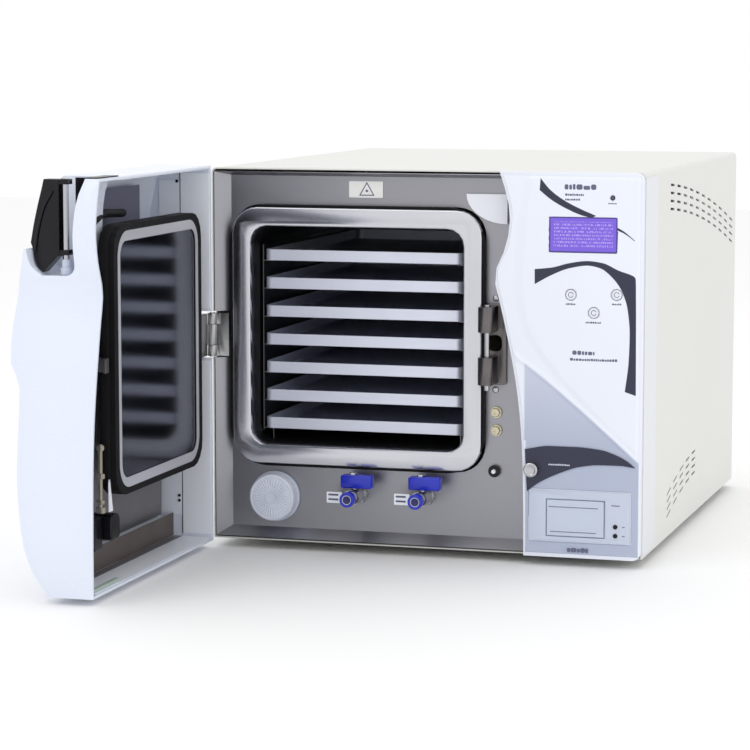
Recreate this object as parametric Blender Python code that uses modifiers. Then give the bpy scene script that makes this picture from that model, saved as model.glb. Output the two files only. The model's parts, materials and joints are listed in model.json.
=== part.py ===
"""Benchtop steam steriliser: square chamber with seven trays, side-hinged bulged door, control console.

Metres, +Z up. X runs to the machine's right, the front faces -Y, and the origin is the middle of the
base's underside. The door's pieces are drawn shut, from the hinge axis, and the hinge empty turns them open.
"""

import math

import bmesh
import bpy
import numpy as np
from mathutils import Matrix, Vector

# Overall body
BODY_WIDTH = 0.470
BODY_DEPTH = 0.570
BODY_HEIGHT = 0.400
SHEET = 0.0015  # folded sheet metal
GAP = 0.0003  # clearance between touching pieces
RUN = 0.0008  # clearance round a piece that moves
COVER_FOLD = 0.005  # radius along the cover's two top edges
FOOT_HEIGHT = 0.010
FOOT_RADIUS = 0.014
FOOT_INSET = 0.070

# Fascia: a shallow stainless tray with sloping sides
FASCIA_RECESS = 0.012
FASCIA_SHEET = 0.0012
SLOPE_LEFT = 0.015
SLOPE_BOTTOM = 0.010
SLOPE_TOP = 0.004
FASCIA_TOP_GAP = 0.0025
FASCIA_BEHIND_CONSOLE = 0.006  # how far the fascia runs on behind the console

# Chamber
CHAMBER_FROM_LEFT = 0.160  # chamber axis to the body's left side
CHAMBER_Z = 0.221
CHAMBER_OPENING = 0.235
CHAMBER_CORNER = 0.018
CHAMBER_DEPTH = 0.420
CHAMBER_WALL = 0.0025
RING_BAR = 0.020  # width of the sealing ring's face
RING_THICK = 0.012
RING_SETBACK = 0.001  # ring face behind the body's front plane
RING_GAP = 0.0025
JACKET_THICK = 0.011
JACKET_SHORT = 0.030  # how much shorter the insulation is than the vessel

# Trays and their rack
TRAY_COUNT = 7
TRAY_SIDE_ROOM = 0.0075  # tray to chamber wall, each side
TRAY_DEPTH = 0.340
TRAY_HEIGHT = 0.012
TRAY_WALL = 0.001
TRAY_RISE = 0.0145  # lowest tray above the chamber's floor
TRAY_HEADROOM = 0.0387  # foot of the highest tray to the chamber's roof
TRAY_SETBACK = 0.026  # tray fronts behind the ring face
RACK_SHEET = 0.0012
RACK_LEDGE = 0.010

# Console and what sits in it
CONSOLE_THICK = 0.010
CONSOLE_WALL = 0.0028
CONSOLE_CORNER = 0.008
LCD_SIZE = (0.0704, 0.0355)
LCD_FROM_RIGHT = 0.0623  # centre, from the body's right side
LCD_Z = 0.3364
BUTTON_RADIUS = 0.0055
BUTTON_PLACES = {"button_left": (0.0747, 0.2745), "button_right": (0.0267, 0.2755), "button_centre": (0.0505, 0.2564)}
LAMP_RADIUS = 0.0022
LAMP_PLACE = (0.0319, 0.3746)
KEY_RADIUS = 0.008
KEY_PLACE = (0.1145, 0.0917)
PRINTER_SIZE = (0.1070, 0.0535)
PRINTER_PLACE = (0.0639, 0.0437)
PRINTER_DEPTH = 0.058
PRINTER_RIM = 0.003
PAPER_DOOR_SIZE = (0.0607, 0.0380)
PAPER_DOOR_PLACE = (0.0680, 0.0419)
PAPER_DOOR_THICK = 0.003
PRINTER_BUTTON_RADIUS = 0.0024
PRINTER_BUTTON_PLACES = {"printer_button_feed": (0.0255, 0.0351), "printer_button_open": (0.0255, 0.0257)}
BOARD_SIZE = (0.110, 0.0016, 0.150)

# Door
HINGE_FORWARD = 0.001  # hinge axis in front of the body's front plane
DOOR_OPEN_ANGLE = math.radians(90.0)
DOOR_BOTTOM = -0.003
DOOR_RISE = 0.002  # top edge above the body's top
DOOR_GAP = 0.004  # between the door's free edge and the console
DOOR_WALL = 0.003
PLATE_SIDE_LAP = 0.0055  # plate past the chamber's opening, each side
PLATE_END_LAP = 0.0165  # and at its top and bottom
PLATE_CORNER = 0.026
PLATE_PROUD = 0.0015  # plate face past the door's rim
PLATE_RIM = 0.016
PLATE_DISH = 0.002
PLATE_THICK = 0.020
GASKET_WIDTH = 0.008
GASKET_THICK = 0.012
FRAME_DEPTH = 0.046  # door frame sheet behind the door's rim
FRAME_SHEET = 0.002
FRAME_HEIGHT = 0.240

# Hinge
HINGE_HEIGHT = 0.046
PIN_RADIUS = 0.003
KNUCKLE_RADIUS = 0.0055
HINGE_NOTCH = 0.050

# Handle, shaft and hook, from the hinge axis
SHAFT_SHORT = 0.0025  # shaft's axis short of the striker pin's, with the door shut
SHAFT_DEPTH = 0.0398
SHAFT_RADIUS = 0.0033
SHAFT_BOTTOM = 0.156
HANDLE_THICK = 0.014
HANDLE_DROP = 0.0755  # door's top edge to the grip's foot, beside the shaft
POCKET_DROP = 0.094  # door's top edge to the pocket's floor
POCKET_RADIUS = 0.012
POCKET_REACH = 0.042  # how far the pocket runs in from the shaft towards the hinge
LUG_THICK = 0.008

# Striker
STRIKER_FROM_RING = 0.0085  # pin axis past the sealing ring's outer edge
STRIKER_WIDTH = 0.0155
STRIKER_REACH = 0.020  # knuckle faces in front of the body
STRIKER_PIN_FORWARD = 0.008
STRIKER_UPPER = (0.233, 0.2595)
STRIKER_LOWER = (0.178, 0.2068)
HOOK_THICK = 0.0145
HOOK_Z = 0.2199

# Front fittings, as (from the body's right side, height)
FILTER_PLACE = (0.4026, 0.0470)
FILTER_RADIUS = 0.0270
FILTER_THICK = 0.016
VALVE_PLACES = {"left": (0.3080, 0.0540), "right": (0.2335, 0.0552)}
VALVE_REACH = 0.050
VALVE_RADIUS = 0.0070
COLLAR_RADIUS = 0.0078
LEVER_SIZE = (0.034, 0.014, 0.013)
LEVER_OFFSET = 0.004
SENSOR_PLACE = (0.1598, 0.0845)
PORT_PLACES = {"port_upper": (0.1585, 0.1467), "port_lower": (0.1584, 0.1277)}
PORT_RADIUS = 0.0064
INSERT_SIZE = (0.0440, 0.0310)
INSERT_TOP = 0.3755

# Louvres in the right side: (start, end) as (behind the front, height)
LOUVRE_ROWS = 4
LOUVRE_SIZE = (0.022, 0.0026)
UPPER_LOUVRES = ((0.151, 0.3806), (0.536, 0.3211))
UPPER_ROW_STEP = 0.0086
UPPER_COUNT = 11
UPPER_ARCH = 0.0082  # how far the row bows up in the middle
LOWER_LOUVRES = ((0.150, 0.0486), (0.300, 0.0706))
LOWER_ROW_STEP = 0.0081
LOWER_COUNT = 5
LOWER_ARCH = 0.0035

# Drawn heights of two styling curves, as (share of the height, value)
PARTING = (  # the wavy joint between door and console, from the body's right side
    (0.000, 0.1235), (0.150, 0.1240), (0.330, 0.1268), (0.430, 0.1311), (0.530, 0.1382), (0.640, 0.1478),
    (0.735, 0.1553), (0.810, 0.1437), (0.890, 0.1398), (0.950, 0.1445), (1.000, 0.1510),
)
DOOR_BULGE = (  # thickness of the door from its rim to its outer face
    (0.000, 0.0480), (0.015, 0.0530), (0.043, 0.0610), (0.072, 0.0665), (0.100, 0.0705), (0.160, 0.0750),
    (0.250, 0.0783), (0.480, 0.0792), (0.515, 0.0805), (0.545, 0.0885), (0.565, 0.0902), (0.640, 0.0905),
    (0.700, 0.0885), (0.765, 0.0840), (0.800, 0.0788), (0.840, 0.0750), (0.890, 0.0712), (0.940, 0.0665),
    (1.000, 0.0600),
)
# Depth of the pocket's two sides behind the door's rim, by height above the pocket's floor
POCKET_INNER = ((0.000, 0.0240), (0.050, 0.0228), (0.079, 0.0195), (0.093, 0.0145))  # side nearest the rim
POCKET_OUTER = ((0.000, 0.0600), (0.008, 0.0690), (0.018, 0.0720), (0.026, 0.0728))  # side nearest the face

LEFT_X = -BODY_WIDTH / 2
RIGHT_X = BODY_WIDTH / 2
FRONT_Y = -BODY_DEPTH / 2
REAR_Y = BODY_DEPTH / 2
CHAMBER_X = LEFT_X + CHAMBER_FROM_LEFT
RING_Y = FRONT_Y + RING_SETBACK
VESSEL_Y = RING_Y + RING_THICK + GAP
FASCIA_Y = FRONT_Y + FASCIA_RECESS
HINGE = Vector((LEFT_X, FRONT_Y - HINGE_FORWARD, 0.0))
PLATE_U = CHAMBER_FROM_LEFT
PLATE_WIDTH = CHAMBER_OPENING + 2 * PLATE_SIDE_LAP
PLATE_HEIGHT = CHAMBER_OPENING + 2 * PLATE_END_LAP
TRAY_WIDTH = CHAMBER_OPENING - 2 * TRAY_SIDE_ROOM
TRAY_LOWEST_Z = CHAMBER_Z - CHAMBER_OPENING / 2 + TRAY_RISE
TRAY_PITCH = (CHAMBER_OPENING - TRAY_RISE - TRAY_HEADROOM) / (TRAY_COUNT - 1)
STRIKER_X = CHAMBER_X + CHAMBER_OPENING / 2 + RING_BAR + STRIKER_FROM_RING
SHAFT_FROM_HINGE = STRIKER_X - HINGE.x - SHAFT_SHORT
DOOR_TOP = BODY_HEIGHT + DOOR_RISE
POCKET_BOTTOM = DOOR_TOP - POCKET_DROP
HANDLE_BOTTOM = DOOR_TOP - HANDLE_DROP

FINISHES = {  # colour, metallic, roughness
    "cover_paint": ((0.74, 0.74, 0.71), 0.0, 0.45),
    "white_plastic": ((0.83, 0.85, 0.92), 0.0, 0.35),
    "console_plastic": ((0.82, 0.85, 0.93), 0.0, 0.32),
    "stainless": ((0.52, 0.52, 0.54), 1.0, 0.35),
    "polished_steel": ((0.75, 0.75, 0.77), 1.0, 0.15),
    "tray_metal": ((0.62, 0.65, 0.72), 1.0, 0.38),
    "dark_steel": ((0.25, 0.25, 0.27), 1.0, 0.40),
    "black_plastic": ((0.02, 0.02, 0.025), 0.0, 0.35),
    "black_rubber": ((0.015, 0.015, 0.017), 0.0, 0.70),
    "blue_plastic": ((0.01, 0.03, 0.52), 0.0, 0.30),
    "screen_glass": ((0.30, 0.20, 0.85), 0.0, 0.12),
    "grey_plastic": ((0.62, 0.67, 0.78), 0.0, 0.40),
    "brass": ((0.70, 0.55, 0.30), 1.0, 0.30),
    "insulation": ((0.60, 0.55, 0.42), 0.0, 0.90),
    "tank_plastic": ((0.80, 0.82, 0.80), 0.0, 0.50),
    "board_green": ((0.02, 0.20, 0.08), 0.0, 0.50),
    "filter_white": ((0.80, 0.83, 0.92), 0.0, 0.55),
}


def clear_scene():
    for obj in list(bpy.data.objects):
        bpy.data.objects.remove(obj, do_unlink=True)


def collection(name):
    made = bpy.data.collections.new(name)
    bpy.context.scene.collection.children.link(made)
    return made


def material(name, finish):
    colour, metallic, roughness = FINISHES[finish]
    made = bpy.data.materials.new(name + "_" + finish)
    made.use_nodes = True
    shader = made.node_tree.nodes["Principled BSDF"]
    shader.inputs["Base Color"].default_value = (*colour, 1.0)
    shader.inputs["Metallic"].default_value = metallic
    shader.inputs["Roughness"].default_value = roughness
    return made


clear_scene()
parts = collection("benchtop_autoclave")
cutters = collection("cutters")


def empty(name, place, parent=None):
    made = bpy.data.objects.new(name, None)
    made.location = place
    made.parent = parent
    parts.objects.link(made)
    return made


hinge_axis = empty("hinge_axis", HINGE)
shaft_axis = empty("shaft_axis", (SHAFT_FROM_HINGE, -SHAFT_DEPTH, 0.0), hinge_axis)


def add_part(name, mesh, finish, origin=(0, 0, 0), parent=None):
    """One node. Its mesh is drawn round the parent's axis, or the world's, and its own origin is put at origin."""
    mesh.transform(Matrix.Translation(-Vector(origin)))
    made = bpy.data.objects.new(name, mesh)
    made.location = origin
    made.parent = parent
    mesh.materials.append(material(name, finish))
    mesh.set_sharp_from_angle(angle=math.radians(35))
    parts.objects.link(made)
    return made


def add_cutter(name, mesh, parent=None):
    made = bpy.data.objects.new(name, mesh)
    made.parent = parent
    made.hide_render = True
    made.display_type = "WIRE"
    cutters.objects.link(made)
    return made


def boolean(obj, operation, other):
    step = obj.modifiers.new(operation.lower() + "_" + other.name, "BOOLEAN")
    step.operation = operation
    step.object = other
    return obj


def cut(obj, mesh, parent=None):
    """Takes the mesh's shape out of the object."""
    return boolean(obj, "DIFFERENCE", add_cutter(obj.name + "_cut", mesh, parent))


def join(obj, mesh, parent=None):
    """Adds the mesh's shape to the object."""
    return boolean(obj, "UNION", add_cutter(obj.name + "_add", mesh, parent))


def mesh_from(bm, name="shape"):
    mesh = bpy.data.meshes.new(name)
    bm.to_mesh(mesh)
    bm.free()
    return mesh


def box(lo, hi):
    """A block between two corners."""
    bm = bmesh.new()
    bmesh.ops.create_cube(bm, size=1.0)
    lo, hi = Vector(lo), Vector(hi)
    bmesh.ops.scale(bm, vec=hi - lo, verts=bm.verts)
    bmesh.ops.translate(bm, vec=(lo + hi) / 2, verts=bm.verts)
    return mesh_from(bm)


AXIS_TURNS = {"X": Matrix.Rotation(math.pi / 2, 4, "Y"), "Y": Matrix.Rotation(-math.pi / 2, 4, "X"), "Z": Matrix()}


def cylinder(axis, start, length, radius, sides=24, radius_end=None):
    """A cylinder or cone from the start point along +axis."""
    bm = bmesh.new()
    end = radius if radius_end is None else radius_end
    bmesh.ops.create_cone(bm, cap_ends=True, segments=sides, radius1=radius, radius2=end, depth=length)
    bmesh.ops.translate(bm, vec=(0, 0, length / 2), verts=bm.verts)
    mesh = mesh_from(bm)
    mesh.transform(Matrix.Translation(Vector(start)) @ AXIS_TURNS[axis])
    return mesh


def merged(meshes):
    """Several separate shapes in one mesh, for a cutter that cuts all of them."""
    bm = bmesh.new()
    for mesh in meshes:
        bm.from_mesh(mesh)
    return mesh_from(bm)


# A flat outline lies in local XY. These turn it to face along the named world axis.
OUTLINE_TURNS = {
    "XZ": Matrix(((1, 0, 0, 0), (0, 0, -1, 0), (0, 1, 0, 0), (0, 0, 0, 1))),
    "YZ": Matrix(((0, 0, 1, 0), (1, 0, 0, 0), (0, 1, 0, 0), (0, 0, 0, 1))),
    "XY": Matrix(),
}
OUTLINE_NORMALS = {"XZ": Vector((0, 1, 0)), "YZ": Vector((1, 0, 0)), "XY": Vector((0, 0, 1))}


def slab(loops, plane, start, end):
    """A flat outline, with any inner loops as holes, filled and extruded between two places on its normal."""
    curve = bpy.data.curves.new("outline", "CURVE")
    curve.dimensions = "2D"
    curve.fill_mode = "BOTH"
    curve.extrude = (end - start) / 2
    for loop in loops:
        spline = curve.splines.new("POLY")
        spline.points.add(len(loop) - 1)
        for point, (a, b) in zip(spline.points, loop):
            point.co = (a, b, 0.0, 1.0)
        spline.use_cyclic_u = True
    guide = bpy.data.objects.new("outline", curve)
    bpy.context.scene.collection.objects.link(guide)
    graph = bpy.context.evaluated_depsgraph_get()
    mesh = bpy.data.meshes.new_from_object(guide.evaluated_get(graph))
    bpy.data.objects.remove(guide, do_unlink=True)
    bm = bmesh.new()
    bm.from_mesh(mesh)
    bmesh.ops.remove_doubles(bm, verts=bm.verts, dist=1e-6)
    bmesh.ops.recalc_face_normals(bm, faces=bm.faces)
    mesh = mesh_from(bm)
    mesh.transform(Matrix.Translation(OUTLINE_NORMALS[plane] * (start + end) / 2) @ OUTLINE_TURNS[plane])
    return mesh


def round_rect(centre, size, radius, steps=5):
    """The outline of a rectangle with round corners, counter-clockwise."""
    points = []
    half = Vector(size) / 2 - Vector((radius, radius))
    for corner, (sx, sy) in enumerate(((1, 1), (-1, 1), (-1, -1), (1, -1))):
        for angle in np.linspace(corner * math.pi / 2, (corner + 1) * math.pi / 2, steps):
            x = centre[0] + sx * half.x + radius * math.cos(angle)
            y = centre[1] + sy * half.y + radius * math.sin(angle)
            points.append((x, y))
    return points


def arc(centre, radius, start, end, steps):
    return [
        (centre[0] + radius * math.cos(math.radians(a)), centre[1] + radius * math.sin(math.radians(a)))
        for a in np.linspace(start, end, steps)
    ]


def smooth(controls, at):
    """A smooth curve through (position, value) controls, read at the given positions."""
    places, values = np.array(controls).T
    slopes = np.gradient(values, places)
    at = np.clip(at, places[0], places[-1])
    i = np.clip(np.searchsorted(places, at, side="right") - 1, 0, len(places) - 2)
    span = places[i + 1] - places[i]
    t = (at - places[i]) / span
    rise = values[i] * (2 * t**3 - 3 * t**2 + 1) + values[i + 1] * (3 * t**2 - 2 * t**3)
    return rise + span * (slopes[i] * (t**3 - 2 * t**2 + t) + slopes[i + 1] * (t**3 - t**2))


def parting_x(heights):
    """World X of the console's left edge at these heights."""
    return RIGHT_X - smooth(PARTING, np.asarray(heights) / BODY_HEIGHT)


def door_thickness(heights):
    return smooth(DOOR_BULGE, np.asarray(heights) / BODY_HEIGHT)


def from_right(place):
    """World (x, z) of a place given from the body's right side."""
    return RIGHT_X - place[0], place[1]


def open_box(lo, hi, gone, thickness, name, finish, fold=0.0):
    """A box without the faces whose normals are listed, walled inwards."""
    bm = bmesh.new()
    bm.from_mesh(box(lo, hi))
    bm.faces.ensure_lookup_table()
    lost = [face for face in bm.faces if any(face.normal.dot(Vector(n)) > 0.9 for n in gone)]
    bmesh.ops.delete(bm, geom=lost, context="FACES")
    if fold:
        edges = [edge for edge in bm.edges if not edge.is_boundary]
        bmesh.ops.bevel(bm, geom=edges, offset=fold, segments=3, profile=0.5, affect="EDGES")
    obj = add_part(name, mesh_from(bm), finish)
    wall = obj.modifiers.new("wall", "SOLIDIFY")
    wall.thickness = thickness
    wall.offset = -1.0
    wall.use_even_offset = True
    return obj


# ---- body -------------------------------------------------------------------------------------------


def hinge_span(margin=0.0):
    return CHAMBER_Z - HINGE_HEIGHT / 2 - margin, CHAMBER_Z + HINGE_HEIGHT / 2 + margin


def hinge_notch(reach):
    """The block round the hinge that the sheets leave free."""
    low, high = hinge_span((HINGE_NOTCH - HINGE_HEIGHT) / 2)
    return box((LEFT_X - 0.02, FRONT_Y - 0.02, low), (LEFT_X + reach, FRONT_Y + FASCIA_RECESS + GAP, high))


def louvre_cutter():
    """All louvre slots of the right side, rows of short dashes along two sweeping curves."""
    length, height = LOUVRE_SIZE
    slots = []
    plans = (
        (UPPER_LOUVRES, UPPER_ROW_STEP, UPPER_COUNT, UPPER_ARCH),
        (LOWER_LOUVRES, LOWER_ROW_STEP, LOWER_COUNT, LOWER_ARCH),
    )
    for ((y0, z0), (y1, z1)), step, count, arch in plans:
        for row in range(LOUVRE_ROWS):
            for share in np.linspace(0, 1, count):
                y = FRONT_Y + y0 + (y1 - y0) * share
                z = z0 + (z1 - z0) * share + arch * 4 * share * (1 - share) - row * step
                slope = ((z1 - z0) + arch * 4 * (1 - 2 * share)) / (y1 - y0)
                slot = box((-0.004, -length / 2, -height / 2), (0.004, length / 2, height / 2))
                turn = Matrix.Rotation(math.atan(slope), 4, "X")
                slot.transform(Matrix.Translation((RIGHT_X, y, z)) @ turn)
                slots.append(slot)
    return merged(slots)


def outer_cover():
    cover = open_box(
        (LEFT_X, FRONT_Y, 0), (RIGHT_X, REAR_Y, BODY_HEIGHT), ((0, -1, 0), (0, 1, 0), (0, 0, -1)),
        SHEET, "outer_cover", "cover_paint", COVER_FOLD,
    )
    cut(cover, louvre_cutter())
    cut(cover, hinge_notch(SHEET + GAP))


def base_pan():
    inset = SHEET + GAP
    start = FASCIA_Y + FASCIA_SHEET + GAP
    hi = (RIGHT_X - inset, REAR_Y - inset, 0.012)
    pan = open_box((LEFT_X + inset, start, 0), hi, ((0, -1, 0), (0, 0, 1)), SHEET, "base_pan", "cover_paint")
    lip = box((LEFT_X + inset + 0.0002, FRONT_Y + 0.0002, 0), (RIGHT_X - inset - 0.0002, start + 0.002, SHEET))
    join(pan, lip)


def inlet_place():
    return RIGHT_X - 0.060, 0.060


def rear_panel():
    inset = SHEET + GAP
    left, right, top = LEFT_X + inset, RIGHT_X - inset, BODY_HEIGHT - inset
    outline = [(left, 0), (right, 0), *arc((right - COVER_FOLD, top - COVER_FOLD), COVER_FOLD, 0, 90, 4)]
    outline += arc((left + COVER_FOLD, top - COVER_FOLD), COVER_FOLD, 90, 180, 4)
    panel = add_part("rear_panel", slab([outline], "XZ", REAR_Y - SHEET, REAR_Y), "cover_paint")
    x, z = inlet_place()
    opening = box((x - 0.0145, REAR_Y - 0.01, z - 0.0125), (x + 0.0145, REAR_Y + 0.01, z + 0.0125))
    vents = [
        box((LEFT_X + 0.10 + 0.030 * column, REAR_Y - 0.01, 0.30 + 0.012 * row),
            (LEFT_X + 0.122 + 0.030 * column, REAR_Y + 0.01, 0.304 + 0.012 * row))
        for column in range(4) for row in range(4)
    ]
    cut(panel, merged([opening, *vents]))


def power_inlet():
    x, z = inlet_place()
    body = box((x - 0.0140, REAR_Y - 0.022, z - 0.0120), (x + 0.0140, REAR_Y + 0.0005, z + 0.0120))
    inlet = add_part("power_inlet", body, "black_plastic", origin=(x, REAR_Y, z))
    join(inlet, box((x - 0.025, REAR_Y + GAP, z - 0.014), (x + 0.025, REAR_Y + 0.003, z + 0.014)))
    cut(inlet, box((x - 0.0110, REAR_Y - 0.016, z - 0.0085), (x + 0.0110, REAR_Y + 0.01, z + 0.0085)))


def feet():
    for number, (sx, sy) in enumerate(((-1, -1), (1, -1), (-1, 1), (1, 1)), start=1):
        centre = (sx * (BODY_WIDTH / 2 - FOOT_INSET), sy * (BODY_DEPTH / 2 - FOOT_INSET), -FOOT_HEIGHT)
        pad = cylinder("Z", centre, FOOT_HEIGHT - GAP, FOOT_RADIUS * 0.9, 20, FOOT_RADIUS)
        add_part(f"foot_{number}", pad, "black_rubber", origin=centre)


def fascia_right_x():
    """Right end of the fascia, behind the console all the way up."""
    return float(parting_x(np.linspace(0, BODY_HEIGHT, 60)).max()) + FASCIA_BEHIND_CONSOLE


def front_fascia():
    inset = SHEET + GAP + FASCIA_SHEET
    lo = Vector((LEFT_X + inset, FRONT_Y, inset))
    hi = Vector((fascia_right_x(), FASCIA_Y, BODY_HEIGHT - SHEET - GAP - FASCIA_TOP_GAP))
    bm = bmesh.new()
    bm.from_mesh(box(lo, hi))
    front = [face for face in bm.faces if face.normal.y < -0.9]
    bmesh.ops.delete(bm, geom=front, context="FACES_ONLY")
    for vert in bm.verts:
        if vert.co.y > FASCIA_Y - 1e-6:
            vert.co.x += SLOPE_LEFT if vert.co.x < 0 else -0.001
            vert.co.z += SLOPE_BOTTOM if vert.co.z < CHAMBER_Z else -SLOPE_TOP
    fascia = add_part("front_fascia", mesh_from(bm), "stainless")
    wall = fascia.modifiers.new("wall", "SOLIDIFY")
    wall.thickness = FASCIA_SHEET
    wall.offset = 1.0
    ring = CHAMBER_OPENING + 2 * (RING_BAR + RING_GAP)
    corner = CHAMBER_CORNER + RING_BAR / 2 + RING_GAP
    holes = [slab([round_rect((CHAMBER_X, CHAMBER_Z), (ring, ring), corner, 7)], "XZ", FRONT_Y, FASCIA_Y + 0.02)]
    for place in VALVE_PLACES.values():
        x, z = from_right(place)
        holes.append(cylinder("Y", (x, FRONT_Y, z), 0.03, VALVE_RADIUS + RUN, 16))
    for place, radius in ((FILTER_PLACE, 0.0105), (SENSOR_PLACE, 0.0045)):
        x, z = from_right(place)
        holes.append(cylinder("Y", (x, FRONT_Y, z), 0.03, radius + RUN, 16))
    x = STRIKER_X
    middle = (STRIKER_LOWER[1] + STRIKER_UPPER[0]) / 2
    window = slab([round_rect((x + 0.0045, middle), (0.0155, 0.018), 0.005, 3)], "XZ", FRONT_Y, FASCIA_Y + 0.02)
    cut(fascia, merged([*holes, window]))
    cut(fascia, hinge_notch(SLOPE_LEFT + 0.005))


# ---- chamber ----------------------------------------------------------------------------------------


def chamber():
    centre = (CHAMBER_X, CHAMBER_Z)
    opening = round_rect(centre, (CHAMBER_OPENING,) * 2, CHAMBER_CORNER)
    face = CHAMBER_OPENING + 2 * RING_BAR
    ring = round_rect(centre, (face, face), CHAMBER_CORNER + RING_BAR / 2, 7)
    origin = (CHAMBER_X, RING_Y, CHAMBER_Z)
    add_part("chamber_ring", slab([ring, opening], "XZ", RING_Y, RING_Y + RING_THICK), "polished_steel", origin)
    size = CHAMBER_OPENING + 2 * CHAMBER_WALL
    walls = round_rect(centre, (size, size), CHAMBER_CORNER + CHAMBER_WALL)
    back = VESSEL_Y + CHAMBER_DEPTH
    vessel = add_part("chamber_vessel", slab([walls], "XZ", VESSEL_Y, back), "stainless", origin)
    cut(vessel, slab([opening], "XZ", VESSEL_Y - 0.01, back - CHAMBER_WALL))
    inner = size + 2 * GAP
    outer = inner + 2 * JACKET_THICK
    loops = [
        round_rect(centre, (outer, outer), CHAMBER_CORNER + JACKET_THICK),
        round_rect(centre, (inner, inner), CHAMBER_CORNER + CHAMBER_WALL + GAP),
    ]
    start = FASCIA_Y + FASCIA_SHEET + 0.004
    add_part("insulation_jacket", slab(loops, "XZ", start, back - JACKET_SHORT), "insulation", origin)


def tray_z(number):
    return TRAY_LOWEST_Z + number * TRAY_PITCH


def tray_front():
    return RING_Y + TRAY_SETBACK


def tray_rack():
    side = TRAY_WIDTH / 2 + 0.004
    low, high = tray_z(0) - 0.0035, tray_z(TRAY_COUNT - 1) + TRAY_HEIGHT + 0.004
    start, end = tray_front() + 0.010, tray_front() + TRAY_DEPTH + 0.012
    left = box((CHAMBER_X - side - RACK_SHEET, start, low), (CHAMBER_X - side, end, high))
    rack = add_part("tray_rack", left, "stainless", origin=(CHAMBER_X, start, low))
    right = box((CHAMBER_X + side, start, low), (CHAMBER_X + side + RACK_SHEET, end, high))
    join(rack, right)
    reach = side + RACK_SHEET / 2
    for z in (low + 0.0005, high - 0.011):
        join(rack, box((CHAMBER_X - reach, end - 0.0025, z), (CHAMBER_X + reach, end - 0.0005, z + 0.010)))
    ledges = []
    for number in range(TRAY_COUNT):
        top = tray_z(number) - GAP
        for sign in (-1, 1):
            outer = CHAMBER_X + sign * (side + RACK_SHEET / 2)
            inner = CHAMBER_X + sign * (side - RACK_LEDGE)
            lo, hi = min(outer, inner), max(outer, inner)
            ledges.append(box((lo, start + 0.001, top - RACK_SHEET), (hi, end - 0.004, top)))
    join(rack, merged(ledges))
    foot = CHAMBER_Z - CHAMBER_OPENING / 2 + 0.0014
    runners = []
    for sign in (-1, 1):
        outer, inner = CHAMBER_X + sign * (TRAY_WIDTH / 2 - 0.0045), CHAMBER_X + sign * (TRAY_WIDTH / 2 - 0.0055)
        lo, hi = min(outer, inner), max(outer, inner)
        runners.append(box((lo, start + 0.004, foot), (hi, end - 0.006, tray_z(0) - GAP - RACK_SHEET / 2)))
    join(rack, merged(runners))


def trays():
    half = TRAY_WIDTH / 2
    for number in range(TRAY_COUNT):
        z = tray_z(number)
        lo = (CHAMBER_X - half, tray_front(), z)
        hi = (CHAMBER_X + half, tray_front() + TRAY_DEPTH, z + TRAY_HEIGHT)
        tray = open_box(lo, hi, ((0, 0, 1),), TRAY_WALL, f"tray_{number + 1}", "tray_metal")
        tray.data.transform(Matrix.Translation(-Vector(lo)))
        tray.location = lo


# ---- front fittings ---------------------------------------------------------------------------------


def striker():
    x = STRIKER_X
    half = STRIKER_WIDTH / 2
    low, high = STRIKER_LOWER[0], STRIKER_UPPER[1]
    back = FASCIA_Y - GAP
    wing = 0.009  # the base plate runs on past the knuckles' right side
    middle = (STRIKER_LOWER[1] + STRIKER_UPPER[0]) / 2
    plate = [
        round_rect((x + wing / 2, (low + high) / 2), (STRIKER_WIDTH + wing, high - low + 0.004), 0.003, 3),
        round_rect((x + wing / 2, middle), (0.0145, 0.017), 0.005, 3),
    ]
    origin = (x, FRONT_Y - STRIKER_PIN_FORWARD, middle)
    block = add_part("striker_block", slab(plate, "XZ", back - 0.0035, back), "dark_steel", origin)
    for bottom, top in (STRIKER_LOWER, STRIKER_UPPER):
        round_front = [(x - half, back - 0.001), (x - half, FRONT_Y - STRIKER_REACH + 0.004)]
        round_front += arc((x, FRONT_Y - STRIKER_REACH + half), half, 200, 340, 6)
        round_front += [(x + half, FRONT_Y - STRIKER_REACH + 0.004), (x + half, back - 0.001)]
        join(block, slab([round_front], "XY", bottom, top))
    hole = cylinder("Z", (x, FRONT_Y - STRIKER_PIN_FORWARD, low - 0.01), high - low + 0.03, PIN_RADIUS, 16)
    cut(block, hole)
    pin = cylinder("Z", (x, FRONT_Y - STRIKER_PIN_FORWARD, low - 0.006), high - low + 0.008, PIN_RADIUS - GAP, 14)
    add_part("striker_pin", pin, "polished_steel", origin)


def ports():
    for name, place in PORT_PLACES.items():
        x, z = from_right(place)
        start = FASCIA_Y - GAP - 0.005
        head = cylinder("Y", (x, start, z), 0.005, PORT_RADIUS, 20)
        port = add_part(name, head, "brass", origin=(x, start, z))
        cut(port, box((x - 0.009, start - 0.01, z - 0.0008), (x + 0.009, start + 0.0015, z + 0.0008)))


def door_sensor():
    x, z = from_right(SENSOR_PLACE)
    start = FASCIA_Y - 0.004
    bush = add_part("sensor_bush", cylinder("Y", (x, start, z), 0.018, 0.0045, 18), "black_plastic", (x, start, z))
    cut(bush, cylinder("Y", (x, start - 0.01, z), 0.05, 0.0025, 14))
    join(bush, slab([arc((x, z), 0.0065, 0, 342, 20), arc((x, z), 0.0035, 0, 335, 14)], "XZ", start, start + 0.0035))
    plunger = cylinder("Y", (x, start - 0.004, z), 0.024, 0.0025 - GAP, 12)
    add_part("sensor_plunger", plunger, "white_plastic", origin=(x, start - 0.004, z))


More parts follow.
